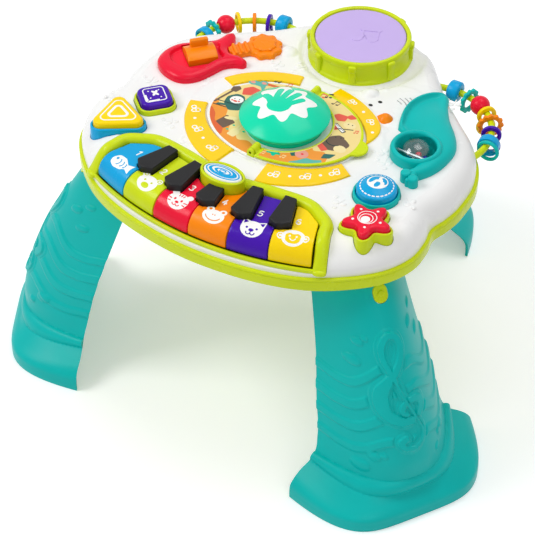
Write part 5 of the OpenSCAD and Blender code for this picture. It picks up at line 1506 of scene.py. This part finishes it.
cream_sheet("flip_page", sheet_bore, sheet_rim)
picture("tangerine", "flip_page", np.vstack([plate_edge(2.5, -86, -33, 36),
        open_curve([[62, -24], [55, -19], [46, -22], [42, -20], [34.5, -31.5], [26, -38.5], [14, -44.6],
                    [5, -46.5]], 6)]))
picture("sea", "flip_page", np.vstack([plate_edge(2.7, -62, -36, 24),
        open_curve([[59, -30], [52, -34], [46, -35], [41, -42], [36, -47]], 6)]), lift=0.09)
picture("umber", "flip_page",
        eased([[42, -8], [46, 3], [54, 9], [62, 7], [70, 2], [68, -8], [60, -13], [48, -16]], 80, 7),
        eased([[48, 5], [54, 10], [60, 9], [60, 3], [52, 0]], 50, 4), *notes(23, 46.5, 0.9, -0.1),
        lift=0.12)
picture("night", "flip_page", stroke(arc(8.5, 150, 320, (54, 2)), 1.1), disc(0.7, 12, (52, 5.6)),
        disc(0.7, 12, (57, 7)),
        *notes(12.5, 51.5, 0.9, 0.25), stroke([[45, 16.5], [60, 23]], 0.8), lift=0.2)
picture("straw", "flip_page", oval(6.0, 5.2, 36, (64.5, -7.5)), oval(6.2, 4.6, 36, (54, 27)), lift=0.17)
picture("coral", "flip_page", *notes(6, 49, 0.95),
        eased([[33, 33], [40, 27], [47, 30], [46, 38], [36, 37]], 60, 4),
        eased([[44, 36], [50, 35], [55, 40], [47, 42]], 40, 2),
        eased([[41, -12], [52, -19], [56, -14], [45, -8]], 50, 2),
        eased([[36, 20], [46, 14], [48, 17], [38, 23]], 40, 2), *notes(63, 20, 0.55, 0.3), lift=0.19)
picture("night", "flip_page", eased([[40, 20.4], [54, 13.6], [56, 17.4], [42, 24.2]], 60, 1), lift=0.21)
picture("white", "flip_page", eased([[41, 20.6], [53.6, 14.5], [55, 17.2], [42.4, 23.3]], 60, 1), lift=0.23)
picture("night", "flip_page", *[stroke([[42.6 + 1.9 * i, 21.4 - 0.92 * i],
                                        [43.3 + 1.9 * i, 22.9 - 0.92 * i]], 0.55) for i in range(7)],
        disc(0.6, 10, (52, 28)), disc(0.6, 10, (56, 28.6)), lift=0.26)
picture("pine", "flip_page", eased([[26, -33], [30, -27.6], [37, -28.4], [39, -35], [33, -40]], 60, 4),
        eased([[56, -21], [66, -16], [64, -24], [57, -28]], 50, 3), lift=0.15)
picture("rose", "flip_page", oval(6.4, 5.8, 40, (39.5, -32.5)), lift=0.2)
picture("scarlet", "flip_page", oval(1.3, 1.1, 20, (40, -32.2)), lift=0.24)
leaf = round_turn(60)
leaf_shape = unit(leaf) * (np.array([5.8, 4.4]) + np.array([1.4, 1.2])
                           * np.cos(5 * leaf)[:, None]) + [16.5, -43.8]
picture("mint", "flip_page", leaf_shape, lift=0.15)
picture("straw", "flip_page", *notes(25.5, -46.5, 0.6), *notes(7.5, -51.5, 0.5), lift=0.17)

# ---------- Light arcs ----------
# Each light's two angles in degrees, its width along X and Y, whether it grows from a point, and the angles
# of its notes and of its dots
arcs = ((192, 257, 14, 24, False, (202, 224, 246), (213, 235)),
        (283, 340, 14, 24, False, (291.5, 311, 330.5), (301.5, 321)),
        (16, 82, 15, 13, True, (42, 66), (30, 54)), (105, 158, 12, 12, False, (), ()))


def arc_place(angle, share, q):
    """A place on a light: at an angle in degrees about the book, and a share of its width out from its
    inner edge. The third light grows from a point as sin(90 (2.5 t)), up to its full width."""
    t = (angle - q[0]) / (q[1] - q[0])
    k = max(math.sin(math.radians(90 * min(1, 2.5 * t))), 0.08) if q[4] else 1.0
    a = math.radians(angle)
    return BOOK + (PLATE + 3 + np.array(q[2:4]) * k * share) * [math.cos(a), math.sin(a)]


lights = []
lens_rim = [(1.5 - 1.5 * math.cos(t), 269.3 + 1.5 * math.sin(t)) for t in np.linspace(0, np.pi / 2, 7)]
lens_back = [(-1.5 + 1.5 * math.cos(t), 269.3 + 1.5 * math.sin(t)) for t in np.linspace(np.pi / 2, 0.02, 7)]
lens_profile = [(0.1, DECK), (0, DECK + 0.3)] + lens_rim + lens_back + [(-0.01, DECK + 0.3), (-0.1, DECK)]
for q in arcs:
    middle_share = (1 - np.cos(np.linspace(0, np.pi, 60))) / 2
    turn = q[0] + (q[1] - q[0]) * (0.7 * np.linspace(0, 1, 60) + 0.3 * middle_share)
    near, far = (np.array([arc_place(t, share, q) for t in turn]) for share in (-0.1, 1.08))
    ends = np.linalg.norm(np.diff((near + far) / 2, axis=0, prepend=(near + far)[:1] / 2), axis=1).cumsum()
    ends = np.minimum(np.minimum(ends, ends[-1] - ends) / 1.5, 1)
    lens = across_span(near, far, lens_profile)
    lens[0][:, 2] = DECK + (lens[0][:, 2] - DECK) * np.repeat(0.4 + 0.6 * np.sqrt(1 - (1 - ends) ** 2),
                                                              len(lens[0]) // 60)
    lights.append(lens)
    inked = []
    s = 0.8 if q[4] else 1.0
    for t in q[5]:
        out = arc_place(t, 1, q) - arc_place(t, 0, q)
        lean = math.atan2(out[1], out[0]) + math.pi / 2
        at = arc_place(t, 0.52 if q is arcs[0] else 0.5, q)
        for dx, dy in ((-2.6, -1.2), (2.6, -1.2)):
            ring = turned(np.array([[dx, dy]]) * s, lean, at)[0]
            inked.append(hoop(disc(2.7 * s, 40, ring), disc(1.5 * s, 40, ring), 270.7, 270.86, 0.02, 2))
        for line in ([[4.7, -0.6], [4.9, 4.6]], [[-0.2, 0], [-0.1, 4.6]], [[-0.1, 4.4], [4.9, 4.6]]):
            inked.append(ribbon(turned(np.array(line) * s, lean, at), 0.9 * s, 270.7, 270.87))
    inked += [sheet(disc(1.5, 24, arc_place(t, 0.5, q)), 270.7, 270.86, 3) for t in q[6]]
    if inked:
        printed(INKS["white"], "table", *inked)
put("light_lenses", joined(*lights), LENS, crisp=40, stands_for=["light_arcs"])

# ---------- Horn ----------
left_edge = open_curve([[91, 47], [98, 44], [106, 40], [115, 33], [123, 25], [130, 12], [134, 2],
                        [131, -8]], 16)
right_edge = open_curve([[101, 117], [108, 112], [114, 100], [125, 84], [137, 71], [147, 58], [153, 44],
                         [154, 25], [151, 8], [144, -6], [139, -12]], 16)


def horn():
    """The horn: stations run from its mouth to its tail, each between the left and right edge. Its mouth is
    bowed out by 12.8 mm. Across a station the height is 9.8 (1 - |2u - 1| ^ 2.6) ^ 0.46; a bead 4.2 mm wide
    follows the mouth, and behind it the bell sinks by up to 3.8 mm."""
    n, m = 100, 61
    left, right = even(left_edge, n), even(right_edge, n)
    t, u = np.linspace(0, 1, n)[:, None], (1 - np.cos(np.linspace(0, np.pi, m)))[None] / 2
    span = right - left
    normal = np.column_stack([-span[:, 1], span[:, 0]]) / np.linalg.norm(span, axis=1, keepdims=True)
    bow = 12.8 * np.clip(1 - t / 0.45, 0, 1) ** 1.6 * 4 * u * (1 - u)
    flat = left[:, None] + span[:, None] * u[..., None] + normal[:, None] * bow[..., None]
    mouth = flat[0]
    d = distance_to(flat.reshape(-1, 2), mouth)[0].reshape(n, m)
    arch = np.clip(1 - np.abs(2 * u - 1) ** 2.6, 0, 1) ** 0.46
    lift = 9.8 * arch * (0.9 + 0.1 * t)
    bead = np.sqrt(np.clip(1 - ((d - 2.1) / 2.1) ** 2, 0, 1))
    sunk = 3.8 * smooth((d - 3.4) / 2.2) * smooth((40 - d) / 34) * smooth(arch * 2.4 - 1.1)
    lift = lift - sunk - 2.0 * smooth((5 - d) / 1.4) * arch + 2.9 * bead * arch
    edge = np.sqrt(np.clip(1 - (1 - np.minimum(d / 1.6, 1)) ** 2, 0, 1))
    tail = np.sqrt(np.clip(1 - (1 - np.minimum((1 - t) * 150 / 3.5, 1)) ** 2, 0, 1))
    rings = np.dstack([flat[..., 0], flat[..., 1], DECK + lift * np.maximum(edge, 0.35) * tail])
    first = rings[:1].copy()
    first[..., 2] = DECK
    rings = np.concatenate([first, rings])
    floor = rings[:, 1:-1][:, ::-1].copy()
    floor[..., 2] = DECK - 0.05
    return stack(np.concatenate([rings, floor], 1))


horn_parts = [horn(), lathe([[0.01, 247], [20.0, 247], [20.6, 247.6], [20.6, DECK], [24, DECK], [24, 275.4],
                             [23.8, 276.9], [23.2, 278.2], [22.3, 279.1], [21.2, 279.5], [20.2, 279.4],
                             [19.3, 278.8], [18.8, 277.8], [18.6, 276.6], [18.6, 249],
                             [0.01, 249]], WELL, 120)]
for x, y, r, top in ((134, -12, 5, 279), (143, -15, 5, 278.4), (138.5, -9, 4.2, 277.4),
                     (139, -17.2, 2.6, 276.4)):
    horn_parts.append(boss(r, r, (x, y), block_edges(DECK, top, 0.2, 2.4, steps=6), 0.0, 3))
horn_piece = put("horn_moulding", joined(*horn_parts), TEAL, crisp=46, stands_for=["horn"])
cut(horn_piece, [lathe([[0.01, 249.1], [18.65, 249.1], [18.65, 276.9], [19.1, 278.2], [20.3, 279.45],
                        [21, 281], [21, 290], [0.01, 290]], WELL, 120)], 46)


def about_x(profile, at, n=72):
    """Pairs (place along x, radius) carried round an axis that runs along x; the profile closes on
    itself."""
    p = np.asarray(profile, float)
    a = round_turn(n)
    x = p[:, :1] + 0 * a
    return stack(np.stack([at[0] + x, at[1] + p[:, 1:] * np.cos(a), at[2] + p[:, 1:] * np.sin(a)], -1),
                 closed=True)


BALL_R, BALL_IN = 16.8, 15.4
hole = math.asin(2.0 / BALL_R)
shell = np.vstack([BALL_R * unit(np.linspace(np.pi - hole, hole, 60)),
                   BALL_IN * unit(np.linspace(hole, np.pi - hole, 60))])
put("rattle_ball_shell", facing_out(*about_x(shell, (*WELL, BALL_Z))), CLEAR, "rattle_ball",
    stands_for=["rattle_ball"])


def ball(at, r, n=28):
    """A small ball."""
    t = np.linspace(0.02, np.pi - 0.02, n // 2)
    return lathe(np.column_stack([r * np.sin(t), at[2] - r * np.cos(t)]), at[:2], n)


for name, finish, at in (("blue", BLUE, ((0, 1), (3, 1))), ("purple", PURPLE, ((1, 1), (5, 1))),
                         ("red", RED, ((2, 1),)), ("yellow", YELLOW, ((4, 1),)),
                         ("lilac", LILAC, ((6, 1),))):
    places = WELL + 9.7 * unit(2 * math.pi * np.array([k for k, _ in at]) / 7)
    made = [ball((*place, 260.4), 2.95) for place in places]
    put("rattle_beads_" + name, joined(*made), finish, "rattle_ball")

# ---------- Bird face ----------
beak = eased(np.vstack([arc(7.4, -150, 170, (73, 54), n=40), [[64.2, 52.4]]]), 120, 3)
put("beak", crowned(lambda g: grown(beak, g), [[0, DECK - 0.4], [0, DECK + 0.6], [-0.1, DECK + 1.0]],
                    np.array([73.0, 54.0]), 5.2, 16), ORANGE, stands_for=["bird_face"])
put("eyes", joined(*[crowned(lambda g, p=p: turned(oval(2.1 + g, 1.6 + g, 28), 0.2, p),
                             [[0, DECK - 0.3], [0, DECK + 1.2], [-0.2, DECK + 1.6]],
                             np.array(p), 0.3, 5) for p in ((56.0, 73.0), (51.0, 64.0))]), BLACK)

# ---------- Bead rails ----------
rail_turn = np.radians(np.linspace(-14, 107, 110))
rail = pipe(ring_at(RAIL_AT[:2] + RAIL_R * unit(rail_turn), RAIL_AT[2]), 3.2, 28)
put("bead_rail_rods", joined(rail, mirrored(rail)), LIME, stands_for=["bead_rails"])


def bead(kind):
    """One bead in its own frame: its bore runs along z, y is up."""
    a = round_turn(96)
    circle = unit(a)
    bore = 4.15
    if kind == "ball":
        t = np.linspace(math.asin(bore / 9.5), np.pi - math.asin(bore / 9.5), 40)
        return lathe(np.column_stack([9.5 * np.sin(t), -9.5 * np.cos(t)]), (0, 0), 72, closed=True)
    if kind == "drum":
        return lathe([[bore, -5.6], [bore + 0.4, -6], [8.0, -6], [8.6, -5.7], [9.7, -4.7], [10, -4.1],
                      [10, 4.1], [9.7, 4.7], [8.6, 5.7], [8.0, 6], [bore + 0.4, 6],
                      [bore, 5.6]], (0, 0), 72, closed=True)
    if kind == "gear":
        return hoop(circle * (11.9 + 0.85 * np.cos(12 * a))[:, None] + [0, -4.0], circle * 7.5 + [0, -4.0],
                    -1.8, 1.8, 0.9)
    if kind == "hoop":
        return moved(hoop(circle * 11 + [0, -4.5], circle * 8 + [0, -4.5], -1.8, 1.8, 1.3, 6),
                     math.radians(40))
    if kind == "band":
        return hoop(circle * 10.4 + [0, -4.5], circle * 8 + [0, -4.5], -4, 4, 0.9)
    rings = []
    for y, down in ((-2.1, -1), (-15.1, 1)):
        reach = np.minimum(9.6, 6.7 / np.maximum(down * np.sin(a), 0.05))
        rings.append(hoop(circle * reach[:, None] + [0, y], circle * 5.6 + [0, y], -1.8, 1.8, 0.7))
    return joined(*rings)


finish_of = {"blue": BLUE, "teal": TEAL, "red": RED, "yellow": YELLOW, "orange": ORANGE, "purple": PURPLE}
rows = (("r", 1, ((92, "drum", "blue"), (77, "gear", "teal"), (63, "ball", "red"), (51, "eight", "yellow"),
                  (39, "gear", "orange"), (24, "eight", "purple"), (12, "band", "blue"),
                  (4, "hoop", "teal"))),
        ("l", -1, ((8, "band", "blue"), (18, "gear", "teal"), (31, "ball", "red"), (43.5, "hoop", "yellow"),
                   (57.5, "eight", "orange"), (71, "eight", "purple"), (85, "drum", "blue"))))
for letter, side, beads in rows:
    for i, (angle, kind, colour) in enumerate(beads):
        points, faces = bead(kind)
        hung = np.column_stack([RAIL_R + points[:, 0], -points[:, 2], points[:, 1]]), faces
        hung = moved(moved(hung, math.radians(angle)), 0, RAIL_AT)
        name = "bead_%s%d" % (letter, i + 1)
        put(name + "_moulding", hung if side > 0 else mirrored(hung), finish_of[colour], name,
            stands_for=[name])

for (material, body), shapes in prints.items():
    put("print_%s_%s" % (material.name.split("_")[-1], body), joined(*shapes), material, body, crisp=60)

# ---------- Carried-over pieces inside ----------
for name, material in (("steel_pins", STEEL), ("shell_screws", STEEL), ("circuit_boards", BOARD),
                       ("batteries", CHARCOAL), ("battery_door", LIME), ("speaker", CHARCOAL),
                       ("power_switch", BLACK)):
    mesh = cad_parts[name].data
    mesh.materials.clear()
    mesh.materials.append(material)

# ---------- Floor and light ----------
def paper():
    """Matt white card: a soft even sheet with a faint tooth. To the lens, and to gloss and glass that
    mirror it, a share of plain white is added, so that it shows white and keeps the shadows."""
    material, tree, place = blank("card_matt_white")
    tooth = add(tree, "TexNoise", {"Scale": 400.0}, Vector=place)
    bump = add(tree, "Bump", {"Strength": 0.1, "Distance": 0.0001}, Height=tooth.outputs["Fac"])
    card = add(tree, "Principled BSDF", {"Base Color": linear("#f4f4f4"), "Roughness": 0.9,
                                         "Specular IOR Level": 0.1}, Normal=bump.outputs["Normal"])
    share = add(tree, "Math", {"operation": "MULTIPLY", 1: 0.3}, seen_ray(tree))
    glow = add(tree, "Emission", {"Color": (1, 1, 1, 1)}, Strength=share.outputs[0])
    add(tree, "Material Output", None,
        add(tree, "AddShader", None, card.outputs[0], glow.outputs[0]).outputs[0])
    return material


side = np.linspace(-6000, 6000, 25)
floor_points = np.array([[x, y, -0.2] for y in side for x in side])
row = np.arange(24)[:, None] * 25 + np.arange(24)[None]
floor_mesh = bpy.data.meshes.new("floor")
floor_mesh.from_pydata((floor_points * 0.001).tolist(), [],
                       np.stack([row, row + 1, row + 26, row + 25], -1).reshape(-1, 4).tolist())
floor_mesh.materials.append(paper())
floor = bpy.data.objects.new("floor", floor_mesh)
bpy.context.scene.collection.objects.link(floor)
floor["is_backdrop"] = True

AIM = Vector((0, 0, 0.2))
for name, place, size, power in (("soft_box_left", (-1.5, -1.2, 2.2), 1.2, 31),
                                 ("soft_box_right", (1.7, -1.5, 1.9), 1.4, 9),
                                 ("soft_box_top", (0.2, 0.7, 2.6), 1.6, 20)):
    data = bpy.data.lights.new(name, "AREA")
    data.shape = "SQUARE"
    data.size = size
    data.energy = power
    lamp = bpy.data.objects.new(name, data)
    lamp.location = place
    lamp.rotation_euler = (AIM - Vector(place)).to_track_quat("-Z", "Y").to_euler()
    bpy.context.scene.collection.objects.link(lamp)

world = bpy.data.worlds.new("studio")
world.use_nodes = True
bpy.context.scene.world = world
level = add(world.node_tree, "MapRange", {"To Min": 0.42, "To Max": 1.0}, seen_ray(world.node_tree))
add(world.node_tree, "Background", {"Color": (1, 1, 1, 1)}, Strength=level.outputs["Result"])
bpy.context.scene.view_settings.view_transform = "Standard"

bpy.context.view_layer.update()
low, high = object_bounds()
